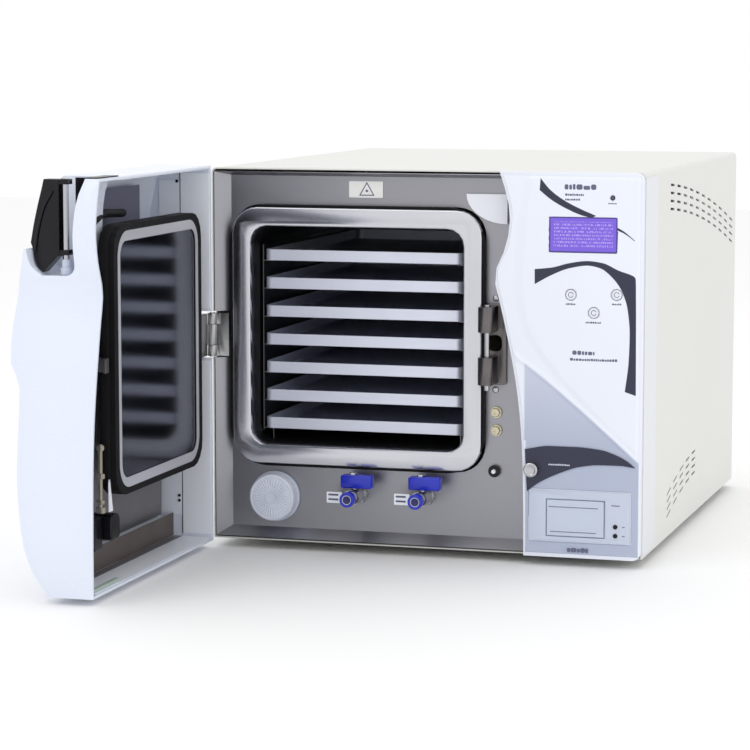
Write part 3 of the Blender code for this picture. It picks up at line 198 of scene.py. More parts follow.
# grain squeezed along one axis, so that brushed lines run along it
acrossX = (0.02, 1, 1)
alongY = (1, 0.02, 1)
finishes = {
    "coverPaint": finish("coverPaint", (222, 222, 218), 0.42, tone=0.05, size=5, grain=1400, relief=0.00005),
    "basePaint": finish("basePaint", (196, 197, 192), 0.5, grain=1200, relief=0.00005),
    "brushedFascia": finish("brushedFascia", (156, 156, 162), 0.36, 1.0, tone=0.25, size=4, grain=1500,
                            stretch=acrossX),
    "consolePlastic": finish("consolePlastic", (234, 238, 249), 0.3, tone=0.02, grain=1600, relief=0.00002,
                             coat=0.2),
    "doorPlastic": finish("doorPlastic", (226, 232, 246), 0.28, tone=0.02, grain=1600, relief=0.00002,
                          coat=0.3),
    "chamberSteel": finish("chamberSteel", (92, 92, 96), 0.35, 1.0, tone=0.3, grain=900, stretch=alongY),
    "polishedRing": finish("polishedRing", (206, 207, 213), 0.24, 1.0, tone=0.12, size=14, grain=700,
                           relief=0.00001),
    "rackSteel": finish("rackSteel", (120, 122, 126), 0.35, 1.0, tone=0.2, stretch=alongY),
    "trayMetal": finish("trayMetal", (226, 230, 244), 0.42, 0.55, tone=0.1, size=30, stretch=acrossX),
    "strikerSteel": finish("strikerSteel", (112, 108, 108), 0.32, 1.0, tone=0.4, size=60, grain=1800),
    "pinSteel": finish("pinSteel", (190, 190, 194), 0.22, 1.0, tone=0.1),
    "brass": finish("brass", (206, 199, 176), 0.28, 1.0, tone=0.3, size=200),
    "blackPlastic": finish("blackPlastic", (12, 12, 18), 0.26, tone=0.2, grain=1300, relief=0.00004,
                           shine=0.3),
    "blackRubber": finish("blackRubber", (10, 9, 11), 0.6, tone=0.3, grain=1100, relief=0.00006, shine=0.2),
    "bluePlastic": finish("bluePlastic", (16, 36, 186), 0.3, tone=0.15, size=60, grain=1500, coat=0.3),
    "whitePlastic": finish("whitePlastic", (232, 234, 242), 0.36, tone=0.04, grain=1500),
    "filterPlastic": finish("filterPlastic", (220, 225, 240), 0.45, tone=0.08, size=60, grain=1300),
    "panelGrey": finish("panelGrey", (200, 207, 224), 0.38, tone=0.04, grain=1500),
    "printerPlastic": finish("printerPlastic", (198, 207, 224), 0.4, tone=0.03, grain=1600),
    "captionInk": finish("captionInk", (96, 100, 126), 0.5, tone=0.1, grain=2000),
    "navyInk": finish("navyInk", (40, 43, 66), 0.34, tone=0.06, size=20, grain=1800),
    "hingeSteel": finish("hingeSteel", (170, 170, 172), 0.3, 1.0, tone=0.2, size=40, stretch=acrossX),
    "frameSheet": finish("frameSheet", (150, 146, 142), 0.42, 0.6, tone=0.2, size=20, stretch=(1, 1, 0.02)),
    "rimSheet": finish("rimSheet", (243, 247, 255), 0.34, tone=0.04, size=12, grain=1500),
    "innerSheet": finish("innerSheet", (240, 245, 255), 0.36, tone=0.08, size=16, grain=1400),
    "plateSteel": finish("plateSteel", (206, 207, 213), 0.34, 0.5, tone=0.12, size=14, stretch=(1, 1, 0.03)),
    "insulation": finish("insulation", (206, 196, 168), 0.9, tone=0.3, size=60, grain=300, relief=0.001),
    "circuitBoard": finish("circuitBoard", (28, 110, 60), 0.4, tone=0.3, size=120),
    "pumpIron": finish("pumpIron", (70, 74, 80), 0.5, 0.4, tone=0.3, size=50),
    "tankPlastic": finish("tankPlastic", (222, 226, 224), 0.5, tone=0.08),
    "paper": finish("paper", (240, 240, 236), 0.8, tone=0.03, grain=1200),
    "innerBrown": finish("innerBrown", (92, 82, 78), 0.5, tone=0.4, size=30),
    "greenSeal": finish("greenSeal", (170, 186, 178), 0.5, tone=0.1),
    "darkPlate": finish("darkPlate", (72, 76, 90), 0.13, 1.0, tone=0.1, size=18, grain=700, relief=0.000005),
    # painted shade: a dark slate colour for the inside of the door's shell, which lies deep in shade
    "paintedShadePanel": finish("paintedShadePanel", (98, 98, 122), 0.4, tone=0.2, size=20),
    "greySheet": finish("greySheet", (122, 120, 124), 0.4, 0.3, tone=0.2, size=20),
    "rodSteel": finish("rodSteel", (150, 142, 130), 0.3, 1.0, tone=0.3, size=200),
    "nozzleBlue": finish("nozzleBlue", (10, 16, 92), 0.3, tone=0.2, size=90, coat=0.3),
    "sidePlastic": finish("sidePlastic", (222, 225, 230), 0.35, tone=0.03, grain=1600),
    "lampLens": finish("lampLens", (70, 74, 92), 0.2, tone=0.1, coat=0.5),
}


def makeDisplay():  # lit violet glass with rows of small marks
    material = finish("displayGlass", (40, 28, 90), 0.16, tone=0.1, size=40, coat=0.6)
    tree = material.node_tree
    shader = tree.nodes["Principled BSDF"]
    place = tree.nodes.new("ShaderNodeTexCoord")
    split = tree.nodes.new("ShaderNodeSeparateXYZ")
    tree.links.new(place.outputs["Object"], split.inputs[0])
    rows = mathNode(tree, "MULTIPLY", split.outputs["Z"], 1 / display["rowPitch"])
    inRow = mathNode(tree, "LESS_THAN", mathNode(tree, "FRACT", rows, 0.0), 0.55)
    stretched = tree.nodes.new("ShaderNodeVectorMath")
    stretched.operation = "MULTIPLY"
    stretched.inputs[1].default_value = (display["marksPerMetre"], 0.0, 1 / display["rowPitch"])
    tree.links.new(place.outputs["Object"], stretched.inputs[0])
    noise = tree.nodes.new("ShaderNodeTexNoise")
    noise.inputs["Scale"].default_value = 1.0
    tree.links.new(stretched.outputs[0], noise.inputs["Vector"])
    mark = mathNode(tree, "GREATER_THAN", noise.outputs["Fac"], 0.5)
    mask = mathNode(tree, "MULTIPLY", inRow, mark)
    for channel, number in (("X", 0), ("Z", 1)):  # marks keep away from the glass's edges
        middle = (display["low"][number] + display["high"][number]) / 2
        away = mathNode(tree, "ABSOLUTE", mathNode(tree, "SUBTRACT", split.outputs[channel], middle), 0.0)
        reach = (display["high"][number] - display["low"][number]) / 2 - display["margin"]
        mask = mathNode(tree, "MULTIPLY", mask, mathNode(tree, "LESS_THAN", away, reach))
    mixed = mixColours(tree, mask, display["lit"], display["marks"])
    tree.links.new(mixed, shader.inputs["Emission Color"])
    shader.inputs["Emission Strength"].default_value = display["glow"]
    return material


def makeConsoleSkin():  # white above the ridge, lavender below it, from the piece's own tint
    material = finish("consoleSkin", (240, 243, 252), 0.3, tone=0.02, grain=1600, relief=0.00002, coat=0.2)
    tree = material.node_tree
    shader = tree.nodes["Principled BSDF"]
    tint = tree.nodes.new("ShaderNodeAttribute")
    tint.attribute_name = "tint"
    mixed = mixColours(tree, tint.outputs["Fac"], consoleFace["upper"], consoleFace["lower"])
    drift = placeGroup(tree, toneGroup, Amount=0.03, Size=9.0)
    tree.links.new(mixed, drift.inputs["Colour"])
    tree.links.new(drift.outputs["Colour"], shader.inputs["Base Color"])
    return material


print("finishes made:", len(finishes))


def addPiece(name, points, faces, material, body="cabinet", sharp=35.0):
    # a smooth mesh that rides on one body, with an edge kept sharp where its faces turn by more than sharp
    # degrees
    mesh = bpy.data.meshes.new(name)
    mesh.from_pydata(np.asarray(points, float).reshape(-1, 3).tolist(), [], faces)
    mesh.validate()
    mesh.polygons.foreach_set("use_smooth", np.ones(len(mesh.polygons), bool))
    mesh.set_sharp_from_angle(angle=math.radians(sharp))
    mesh.materials.append(material)
    piece = bpy.data.objects.new(name, mesh)
    scene.collection.objects.link(piece)
    weighted = piece.modifiers.new("weighted", "WEIGHTED_NORMAL")
    weighted.keep_sharp = True
    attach(piece, body)
    return piece


def gridFaces(rows, columns, closed):
    # the quads of a grid of points, its columns joined end to end if closed
    row = np.arange(rows - 1)[:, None]
    column = np.arange(columns if closed else columns - 1)[None, :]
    after = (column + 1) % columns
    corners = (row * columns + column, row * columns + after, (row + 1) * columns + after,
               (row + 1) * columns + column)
    return np.stack(corners, -1).reshape(-1, 4)


def facingOut(name):  # turns every face of a closed piece outwards
    mesh = bpy.data.objects[name].data
    shape = bmesh.new()
    shape.from_mesh(mesh)
    bmesh.ops.recalc_face_normals(shape, faces=shape.faces)
    shape.to_mesh(mesh)
    shape.free()
    mesh.set_sharp_from_angle(angle=math.radians(35))


def closedRings(name, rings, material, body="cabinet", sharp=35.0):
    # rings is (rings, points, 3): neighbouring rings are joined, and the first and last are closed by one
    # face each
    count, around = rings.shape[:2]
    faces = gridFaces(count, around, True).tolist()
    faces.append(list(range(around))[::-1])
    faces.append(list(range((count - 1) * around, count * around)))
    piece = addPiece(name, rings, faces, material, body, sharp)
    facingOut(name)
    return piece


def axisPoint(axis, a, b, depth):  # a, b across the axis and depth along it, as X, Y, Z
    a, b, depth = np.broadcast_arrays(a, b, depth)
    order = {"X": (depth, a, b), "Y": (a, depth, b), "Z": (a, b, depth)}[axis]
    return np.stack(order, -1)


def turned(name, profile, centre, axis, material, body="cabinet", steps=40, sides=None, sharp=35.0):
    # a profile of (distance along the axis, radius) spun round it; with sides, the section is that regular
    # polygon
    profile = np.asarray(profile, float)
    angle = np.linspace(0, 2 * math.pi, sides or steps, endpoint=False)
    a = centre[0] + profile[:, 1][:, None] * np.cos(angle)[None, :]
    b = centre[1] + profile[:, 1][:, None] * np.sin(angle)[None, :]
    rings = axisPoint(axis, a, b, centre[2] + profile[:, 0][:, None])
    return closedRings(name, rings, material, body, sharp)


def roundRect(x, z, width, height, radius, steps=6):  # corner arcs of one radius, anticlockwise
    turn = np.linspace(0, math.pi / 2, steps)
    corners = []
    for number, (sx, sz) in enumerate(((1, 1), (-1, 1), (-1, -1), (1, -1))):
        angle = turn + number * math.pi / 2
        corners.append(np.stack((
            x + sx * (width / 2 - radius) + radius * np.cos(angle),
            z + sz * (height / 2 - radius) + radius * np.sin(angle),
        ), -1))
    return np.concatenate(corners)


def inwardOf(outline):  # unit normals that point into an anticlockwise outline
    along = np.roll(outline, -1, 0) - np.roll(outline, 1, 0)
    along /= np.linalg.norm(along, axis=1)[:, None] + 1e-12
    return np.stack((-along[:, 1], along[:, 0]), -1)


def plate(name, outline, axis, low, high, edge, material, body="cabinet", steps=3):
    # an outline carried from low to high along an axis, both rims rounded by a quarter circle of radius edge
    inward = inwardOf(outline)
    angle = np.linspace(0, math.pi / 2, steps + 1)
    inset = edge * (1 - np.sin(angle))
    depth = edge * (1 - np.cos(angle))
    insets = np.concatenate((inset, inset[::-1]))
    depths = np.concatenate((low + depth, high - depth[::-1]))
    flat = outline[None] + inward[None] * insets[:, None, None]
    rings = axisPoint(axis, flat[..., 0], flat[..., 1], depths[:, None])
    return closedRings(name, rings, material, body)


def strip(name, lower, upper, depth, thick, material, body="cabinet", steps=60):
    # the film between two curves on a plane that faces -Y: points run from the lower curve to the upper one
    share = np.linspace(0, 1, steps)
    edges = []
    for curve in (lower, upper):
        curve = np.asarray(curve, float)
        length = np.concatenate(([0], np.cumsum(np.linalg.norm(np.diff(curve, axis=0), axis=1))))
        length /= length[-1]
        edges.append(np.stack([smoothCurve(length, curve[:, i], share) for i in (0, 1)], -1))
    outline = np.concatenate((edges[0], edges[1][::-1]))
    rings = axisPoint("Y", outline[None, :, 0], outline[None, :, 1],
                      np.array((depth, depth - thick))[:, None])
    count = len(outline)
    half = count // 2
    near = np.arange(half - 1)
    front = np.stack((near, near + 1, count - 2 - near, count - 1 - near), -1)
    faces = gridFaces(2, count, True).tolist() + front.tolist() + (front + count)[:, ::-1].tolist()
    piece = addPiece(name, rings, faces, material, body)
    facingOut(name)
    return piece


def smoothCurve(at, values, where):  # cubic Hermite through the points, with slopes that never overshoot
    at, values = np.asarray(at, float), np.asarray(values, float)
    gap = np.diff(at)
    rise = np.diff(values) / gap
    slope = np.zeros_like(values)
    slope[1:-1] = np.where(rise[:-1] * rise[1:] > 0,
                           2 * rise[:-1] * rise[1:] / (rise[:-1] + rise[1:] + 1e-12), 0)
    slope[0], slope[-1] = rise[0], rise[-1]
    step = np.clip(np.searchsorted(at, where) - 1, 0, len(gap) - 1)
    share = np.clip((where - at[step]) / gap[step], 0, 1)
    start, end = values[step], values[step + 1]
    return (
        (1 + 2 * share) * (1 - share) ** 2 * start
        + share * (1 - share) ** 2 * gap[step] * slope[step]
        + share ** 2 * (3 - 2 * share) * end
        + share ** 2 * (share - 1) * gap[step] * slope[step + 1]
    )


def tube(name, path, radius, material, body="cabinet", sides=16, steps=40):
    # a circle carried along a smooth path, square to it, with closed ends
    path = np.asarray(path, float)
    length = np.concatenate(([0], np.cumsum(np.linalg.norm(np.diff(path, axis=0), axis=1))))
    where = np.linspace(0, length[-1], steps)
    line = np.stack([smoothCurve(length, path[:, i], where) for i in range(3)], -1)
    along = np.gradient(line, axis=0)
    along /= np.linalg.norm(along, axis=1)[:, None]
    spare = np.array((0.13, 0.21, 0.97)) if abs(along[:, 2]).max() < 0.95 else np.array((0.97, 0.21, 0.13))
    side = np.cross(along, spare)
    side /= np.linalg.norm(side, axis=1)[:, None]
    up = np.cross(side, along)
    angle = np.linspace(0, 2 * math.pi, sides, endpoint=False)
    rings = line[:, None] + radius * (np.cos(angle)[None, :, None] * side[:, None]
                                      + np.sin(angle)[None, :, None] * up[:, None])
    return closedRings(name, rings, material, body)


def softened(node, width, material, segments=2):
    # a copy of a CAD node with its doubles merged and every sharp edge rounded
    shape = bmesh.new()
    shape.from_mesh(nodes[node].data)
    bmesh.ops.remove_doubles(shape, verts=shape.verts, dist=0.00001)
    bmesh.ops.dissolve_limit(shape, angle_limit=math.radians(0.5), verts=shape.verts, edges=shape.edges)
    mesh = bpy.data.meshes.new(node + "_soft")
    shape.to_mesh(mesh)
    shape.free()
    mesh.materials.clear()
    mesh.materials.append(material)
    mesh.polygons.foreach_set("use_smooth", np.ones(len(mesh.polygons), bool))
    mesh.polygons.foreach_set("material_index", np.zeros(len(mesh.polygons), np.int32))
    piece = bpy.data.objects.new(node + "_soft", mesh)
    scene.collection.objects.link(piece)
    bevel = piece.modifiers.new("edges", "BEVEL")
    bevel.width = width
    bevel.segments = segments
    bevel.limit_method = "ANGLE"
    bevel.angle_limit = math.radians(28)
    bevel.harden_normals = True
    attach(piece, nodes[node]["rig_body"])
    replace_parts(piece, node)
    return piece


def screwHead(name, a, b, face, axis, outward, radius, material, body="cabinet"):
    # a low dome with a round drive hole, face being where it sits
    profile = np.array((
        (-0.0003, 0.98), (0.0004, 1.0), (0.0010, 0.9), (0.0014, 0.7), (0.0015, 0.45), (0.0015, 0.38),
        (0.0007, 0.34), (0.0007, 0.05),
    ))
    profile = np.stack((profile[:, 0] * outward, profile[:, 1] * radius), -1)
    return turned(name, profile, (a, b, face), axis, material, body, steps=24)


def doorPoint(across, out, z):  # from the hinge axis: across the door, out of its rim, height
    return (hingeX - out, hingeY - across, z)


stagePlan = {"floorZ": -0.0102, "floorSize": 12.0, "floorColour": (250, 250, 250), "sky": 1.0}
lightPlan = {  # place, size and power of each soft light, all aimed at the machine
    "keyLight": ((-1.4, -2.4, 2.2), 1.6, 7.0),
    "fillLight": ((2.2, -2.0, 1.0), 1.4, 3.0),
    "topLight": ((0.2, 0.3, 2.6), 2.0, 7.0),
}
cameraPlan = {
    "target": (-0.053, -0.285, 0.183), "azimuth": 16.59, "elevation": 6.80, "distance": 2.934, "lens": 133.2,
}


def makeStage():
    # pale floor, even sky, soft square lights aimed at the machine, and the camera on its own arc
    scene.view_settings.view_transform = "Standard"
    world = bpy.data.worlds.new("studio")
    scene.world = world
    world.use_nodes = True
    sky = world.node_tree.nodes["Background"]
    sky.inputs["Color"].default_value = (1.0, 1.0, 1.0, 1.0)
    sky.inputs["Strength"].default_value = stagePlan["sky"]
    half, z = stagePlan["floorSize"] / 2, stagePlan["floorZ"]
    mesh = bpy.data.meshes.new("floor")
    mesh.from_pydata([(-half, -half, z), (half, -half, z), (half, half, z), (-half, half, z)], [],
                     [(0, 1, 2, 3)])
    mesh.materials.append(finish("floorPaint", stagePlan["floorColour"], 0.8, tone=0.0, relief=0.0))
    floor = bpy.data.objects.new("floor", mesh)
    scene.collection.objects.link(floor)
    target = Vector(cameraPlan["target"])
    for name, (place, size, power) in lightPlan.items():
        light = bpy.data.lights.new(name, "AREA")
        light.size = size
        light.energy = power
        lamp = bpy.data.objects.new(name, light)
        lamp.location = place
        lamp.rotation_euler = (target - Vector(place)).to_track_quat("-Z", "Y").to_euler()
        scene.collection.objects.link(lamp)
    azimuth, elevation = math.radians(cameraPlan["azimuth"]), math.radians(cameraPlan["elevation"])
    away = Vector((math.sin(azimuth) * math.cos(elevation), -math.cos(azimuth) * math.cos(elevation),
                   math.sin(elevation)))
    camera = bpy.data.objects.new("camera", bpy.data.cameras.new("camera"))
    camera.location = target + away * cameraPlan["distance"]
    camera.rotation_euler = (-away).to_track_quat("-Z", "Y").to_euler()
    camera.data.lens = cameraPlan["lens"]
    camera.data.sensor_width = 36.0
    scene.collection.objects.link(camera)
    scene.camera = camera


makeStage()
print("stage, lights and camera ready")

roundedNodes = {  # node: (edge radius, finish, slot)
    "door_shell": (0.0022, "doorPlastic", "door_plastic"),
    "console_housing": (0.0012, "consolePlastic", "console_plastic"),
    "printer_body": (0.0006, "printerPlastic", "printer_plastic"),
    "handle_lever": (0.0018, "blackPlastic", "black_plastic"),
    "door_gasket": (0.0012, "blackRubber", "black_rubber"),
    "striker_block": (0.0007, "strikerSteel", "striker_steel"),
    "chamber_ring": (0.0016, "polishedRing", "polished_ring"),
    "latch_hook": (0.0008, "strikerSteel", "striker_steel"),
    "valve_lever_left": (0.0012, "bluePlastic", "blue_plastic"),
    "valve_lever_right": (0.0012, "bluePlastic", "blue_plastic"),
    "hinge_bracket": (0.0006, "hingeSteel", "hinge_steel"),
    "hinge_arm": (0.0006, "hingeSteel", "hinge_steel"),
    "power_inlet": (0.0008, "blackPlastic", "black_plastic"),
}
for footNumber in range(1, 5):
    roundedNodes[f"foot_{footNumber}"] = (0.0012, "blackRubber", "foot_rubber")

plainNodes = {
    "outer_cover": "coverPaint", "base_pan": "basePaint", "rear_panel": "coverPaint",
    "front_fascia": "brushedFascia",
    "chamber_vessel": "chamberSteel", "insulation_jacket": "insulation", "tray_rack": "rackSteel",
    "striker_pin": "pinSteel", "hinge_pin": "pinSteel", "handle_shaft": "pinSteel",
    "door_frame": "frameSheet",
    "steam_generator": "chamberSteel", "vacuum_pump": "pumpIron", "water_tank": "tankPlastic",
    "control_board": "circuitBoard", "paper_roll": "paper", "sensor_bush": "blackPlastic",
    "sensor_plunger": "whitePlastic", "hose_collar_left": "bluePlastic", "hose_collar_right": "bluePlastic",
    "valve_body_left": "pinSteel", "valve_body_right": "pinSteel", "handle_recess_cap": "whitePlastic",
    "printer_button_feed": "blackPlastic", "printer_button_open": "blackPlastic",
    "printer_door": "printerPlastic",
    "pressure_plate": "blackRubber", "status_lamp": "lampLens", "power_knob": "pinSteel",
    "button_left": "panelGrey", "button_right": "panelGrey", "button_centre": "panelGrey",
    "display_screen": "blackPlastic", "air_filter": "filterPlastic", "port_upper": "brass",
    "port_lower": "brass",
}


def dressNodes():
    # a rounded copy in place of each node of the first list, and a finish on each of the second
    for node, (width, look, slotName) in roundedNodes.items():
        softened(node, width, finishes[look])
    for node, look in plainNodes.items():
        mesh = nodes[node].data
        mesh.materials.clear()
        mesh.materials.append(finishes[look])
        mesh.polygons.foreach_set("material_index", np.zeros(len(mesh.polygons), np.int32))


dressNodes()
print("CAD nodes dressed")

trayPlan = {"count": 7, "wall": 0.0010, "floor": 0.0010, "corner": 0.0080, "rim": 0.0003}


def buildTrays():
    # rounded rectangles stacked up the outside, over the rim and down the inside, as (inset, height)
    wall, rim = trayPlan["wall"], trayPlan["rim"]
    for number in range(1, trayPlan["count"] + 1):
        node = f"tray_{number}"
        low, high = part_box(node)
        centre = ((low.x + high.x) / 2, (low.y + high.y) / 2)
        section = ((rim, low.z), (0.0, low.z + rim), (0.0, high.z - rim), (rim, high.z), (wall - rim, high.z),
                   (wall, high.z - rim),
                   (wall, low.z + trayPlan["floor"]))
        rings = []
        for inset, z in section:
            line = roundRect(*centre, high.x - low.x - 2 * inset, high.y - low.y - 2 * inset,
                             trayPlan["corner"] - inset)
            rings.append(axisPoint("Z", line[:, 0], line[:, 1], z))
        made = closedRings(f"{node}_pan", np.stack(rings), finishes["trayMetal"], node)
        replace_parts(made, node)


buildTrays()
print("trays built")


# Joint between door and console: height, and distance from the machine's right side
partingHeights = (0.0, 0.06, 0.132, 0.172, 0.212, 0.256, 0.294, 0.324, 0.356, 0.380, 0.400)
partingFromRight = (0.1235, 0.1240, 0.1268, 0.1311, 0.1382, 0.1478, 0.1553, 0.1437, 0.1398, 0.1445, 0.1510)

consoleFace = {
    "columns": 150, "rows": 420, "proud": 0.00012, "margin": 0.0022, "plateau": 0.0011, "shoulder": 0.0060,
    "bead": 0.0010, "beadWidth": 0.0024, "beadSlope": 0.78, "low": 0.004, "high": 0.3965, "rimWidth": 0.004,
    "panelRoom": 0.0006, "buttonRoom": 0.0008, "knobHole": 0.0055, "upper": (236, 240, 251),
    "lower": (178, 186, 208),
}
# Left side of the raised field, as (height, x)
ridgeHeights = (0.000, 0.101, 0.131, 0.165, 0.199, 0.237, 0.278, 0.350, 0.400)
ridgeX = (0.236, 0.234, 0.206, 0.172, 0.140, 0.114, 0.1053, 0.1091, 0.1172)
# Top of the lavender field, as (x, height)
beadX = (0.0962, 0.1282, 0.1655, 0.2026, 0.2343)
beadHeights = (0.2133, 0.1904, 0.1605, 0.1287, 0.1009)
display = {
    "low": (0.1375, 0.3186), "high": (0.2079, 0.3541), "margin": 0.0042, "rowPitch": 0.0036,
    "marksPerMetre": 900.0,
    "lit": (124, 92, 228), "marks": (190, 166, 250), "glow": 0.8,
}


def buildConsoleSkin():
    # height field over the console's face, from the wavy joint to the right side: plateau * smooth step of
    # the
    # distance past the ridge, plus bead * exp(-(distance from the lavender field's top / its width) squared)
    plan = consoleFace
    z = np.linspace(plan["low"], plan["high"], plan["rows"])[:, None]
    left = rightX - smoothCurve(partingHeights, partingFromRight, z) + plan["margin"]
    share = np.linspace(0, 1, plan["columns"])[None, :]
    x = left + share * (rightX - plan["margin"] - left)
    z = np.broadcast_to(z, x.shape)
    past = (x - smoothCurve(ridgeHeights, ridgeX, z)) / plan["shoulder"]
    step = np.clip(past * 0.5 + 0.5, 0, 1)
    step = step * step * (3 - 2 * step)
    off = (z - smoothCurve(beadX, beadHeights, np.clip(x, beadX[0], beadX[-1]))) * plan["beadSlope"]
    bead = np.exp(-((off / plan["beadWidth"]) ** 2)) * (x > beadX[0])
    lift = plan["plateau"] * step + plan["bead"] * bead
    rim = np.clip(np.minimum(share, 1 - share) * (rightX - left) / plan["rimWidth"], 0, 1)
    rim = rim * np.clip(np.minimum(z - plan["low"], plan["high"] - z) / plan["rimWidth"], 0, 1)
    y = consoleY - plan["proud"] - lift * rim * rim * (3 - 2 * rim)
    points = np.stack((x, y, z), -1).reshape(-1, 3)
    faces = gridFaces(plan["rows"], plan["columns"], False)
    middle = points[faces].mean(1)
    keep = np.ones(len(faces), bool)
    grow = plan["panelRoom"]
    for name in ("display_screen", "printer_body"):
        low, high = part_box(name)
        inside = (middle[:, 0] > low.x - grow) & (middle[:, 0] < high.x + grow)
        inside &= (middle[:, 2] > low.z - grow) & (middle[:, 2] < high.z + grow)
        keep &= ~inside
    for name in ("button_left", "button_right", "button_centre", "status_lamp", "power_knob"):
        low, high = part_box(name)
        centre, radius = (low + high) / 2, (high.x - low.x) / 2 + plan["buttonRoom"]
        if name == "power_knob":
            radius = plan["knobHole"]
        keep &= np.hypot(middle[:, 0] - centre.x, middle[:, 2] - centre.z) > radius
    skin = addPiece("console_skin", points, faces[keep].tolist(), makeConsoleSkin(),
                    sharp=60)
    tint = np.clip(-off / 0.002 + 0.5, 0, 1) * np.clip((x - 0.1125) / 0.0015 + (z > 0.122), 0, 1)
    tint = tint * (1.0 - 0.35 * np.clip((z - 0.12) / 0.08, 0, 1))
    attribute = skin.data.attributes.new("tint", "FLOAT", "POINT")
    attribute.data.foreach_set("value", tint.astype(np.float32).ravel())
    solid = skin.modifiers.new("thickness", "SOLIDIFY")
    solid.thickness = 0.0001
    solid.offset = 1.0


def buildDisplay():  # a thin glass plate inside a raised frame
    low, high = display["low"], display["high"]
    centre = ((low[0] + high[0]) / 2, (low[1] + high[1]) / 2)
    width, height = high[0] - low[0], high[1] - low[1]
    glass = roundRect(*centre, width - 0.0008, height - 0.0008, 0.0016)
    plate("display_glass", glass, "Y", consoleY - 0.0008, consoleY + 0.0006, 0.0003, makeDisplay())
    outer = roundRect(*centre, width + 0.0016, height + 0.0016, 0.0024)
    inner = roundRect(*centre, width - 0.0014, height - 0.0014, 0.0014)
    # a frame: its section runs out, round the front and back in, and is carried round the display
    section = ((outer, 0.0), (outer, -0.0010), ((outer * 0.75 + inner * 0.25), -0.0015),
               ((outer * 0.3 + inner * 0.7), -0.0015),
               (inner, -0.0009), (inner, 0.0))
    rings = np.stack([axisPoint("Y", line[:, 0], line[:, 1], consoleY + depth) for line, depth in section])
    faces = gridFaces(len(section), rings.shape[1], True)
    back = gridFaces(2, rings.shape[1], True)
    back = np.where(back < rings.shape[1], back + (len(section) - 1) * rings.shape[1], back - rings.shape[1])
    material = finish("displayBorder", (66, 56, 128), 0.25, tone=0.1, grain=1600, coat=0.3)
    addPiece("display_border", rings, faces.tolist() + back.tolist(), material)
    facingOut("display_border")


bands = {  # printed bands on the console: lower and upper edge, as (x, height)
    "band_top": (
        ((0.1268, 0.3816), (0.1390, 0.3720), (0.1531, 0.3640), (0.1700, 0.3568), (0.1815, 0.3538)),
        ((0.1277, 0.3939), (0.1380, 0.3820), (0.1531, 0.3712), (0.1700, 0.3628), (0.1860, 0.3562)),
    ),
    "band_tail": (
        ((0.2079, 0.3418), (0.2150, 0.3388), (0.2210, 0.3350), (0.2264, 0.3308)),
        ((0.2079, 0.3446), (0.2150, 0.3408), (0.2210, 0.3362), (0.2264, 0.3316)),
    ),
    "band_arch": (
        ((0.1222, 0.2847), (0.1400, 0.2945), (0.1590, 0.3020), (0.1778, 0.3050), (0.1903, 0.3028),
         (0.2029, 0.2939),
         (0.2135, 0.2798), (0.2199, 0.2605), (0.2223, 0.2349), (0.2216, 0.2091), (0.2178, 0.1759)),
        ((0.1221, 0.3002), (0.1400, 0.3022), (0.1590, 0.3072), (0.1777, 0.3097), (0.1930, 0.3080),
         (0.2090, 0.3010),
         (0.2278, 0.2925), (0.2284, 0.2700), (0.2288, 0.2349), (0.2290, 0.2091), (0.2293, 0.1722)),
    ),
    "band_low": (
        ((0.1153, 0.0683), (0.1291, 0.0784), (0.1503, 0.0888), (0.1714, 0.0961), (0.1920, 0.0988),
         (0.2134, 0.0990),
         (0.2291, 0.0972)),
        ((0.1128, 0.1124), (0.1394, 0.1167), (0.1659, 0.1167), (0.1923, 0.1147), (0.2081, 0.1102),
         (0.2200, 0.1045),
         (0.2291, 0.0976)),
    ),
}


def buildBands():  # each printed band is a film between two smooth curves, just above the skin
    for name, (lower, upper) in bands.items():
        raised = consoleFace["plateau"] if name != "band_low" else consoleFace["bead"]
        lift = consoleFace["proud"] + raised * 1.05
        strip(name, lower, upper, consoleY - lift + 0.0004, 0.0006, finishes["navyInk"])


captionPlan = {  # rows of small marks: left, centre height, width, mark height, finish
    "caption_heading": (0.1530, 0.3855, 0.0340, 0.0058, "captionInk"),
    "caption_model": (0.1535, 0.3775, 0.0200, 0.0026, "captionInk"),
    "caption_series": (0.1535, 0.3725, 0.0160, 0.0022, "captionInk"),
    "caption_lamp": (0.1985, 0.3690, 0.0090, 0.0014, "captionInk"),
    "caption_left": (0.1550, 0.2650, 0.0105, 0.0020, "captionInk"),
    "caption_right": (0.2035, 0.2660, 0.0100, 0.0020, "captionInk"),
    "caption_centre": (0.1760, 0.2465, 0.0165, 0.0020, "captionInk"),
    "caption_middle": (0.1625, 0.2150, 0.0240, 0.0046, "captionInk"),
    "caption_class": (0.1600, 0.2080, 0.0500, 0.0030, "captionInk"),
    "caption_knob": (0.1380, 0.0975, 0.0230, 0.0018, "panelGrey"),
    "caption_printer": (0.1585, 0.0085, 0.0230, 0.0046, "captionInk"),
}


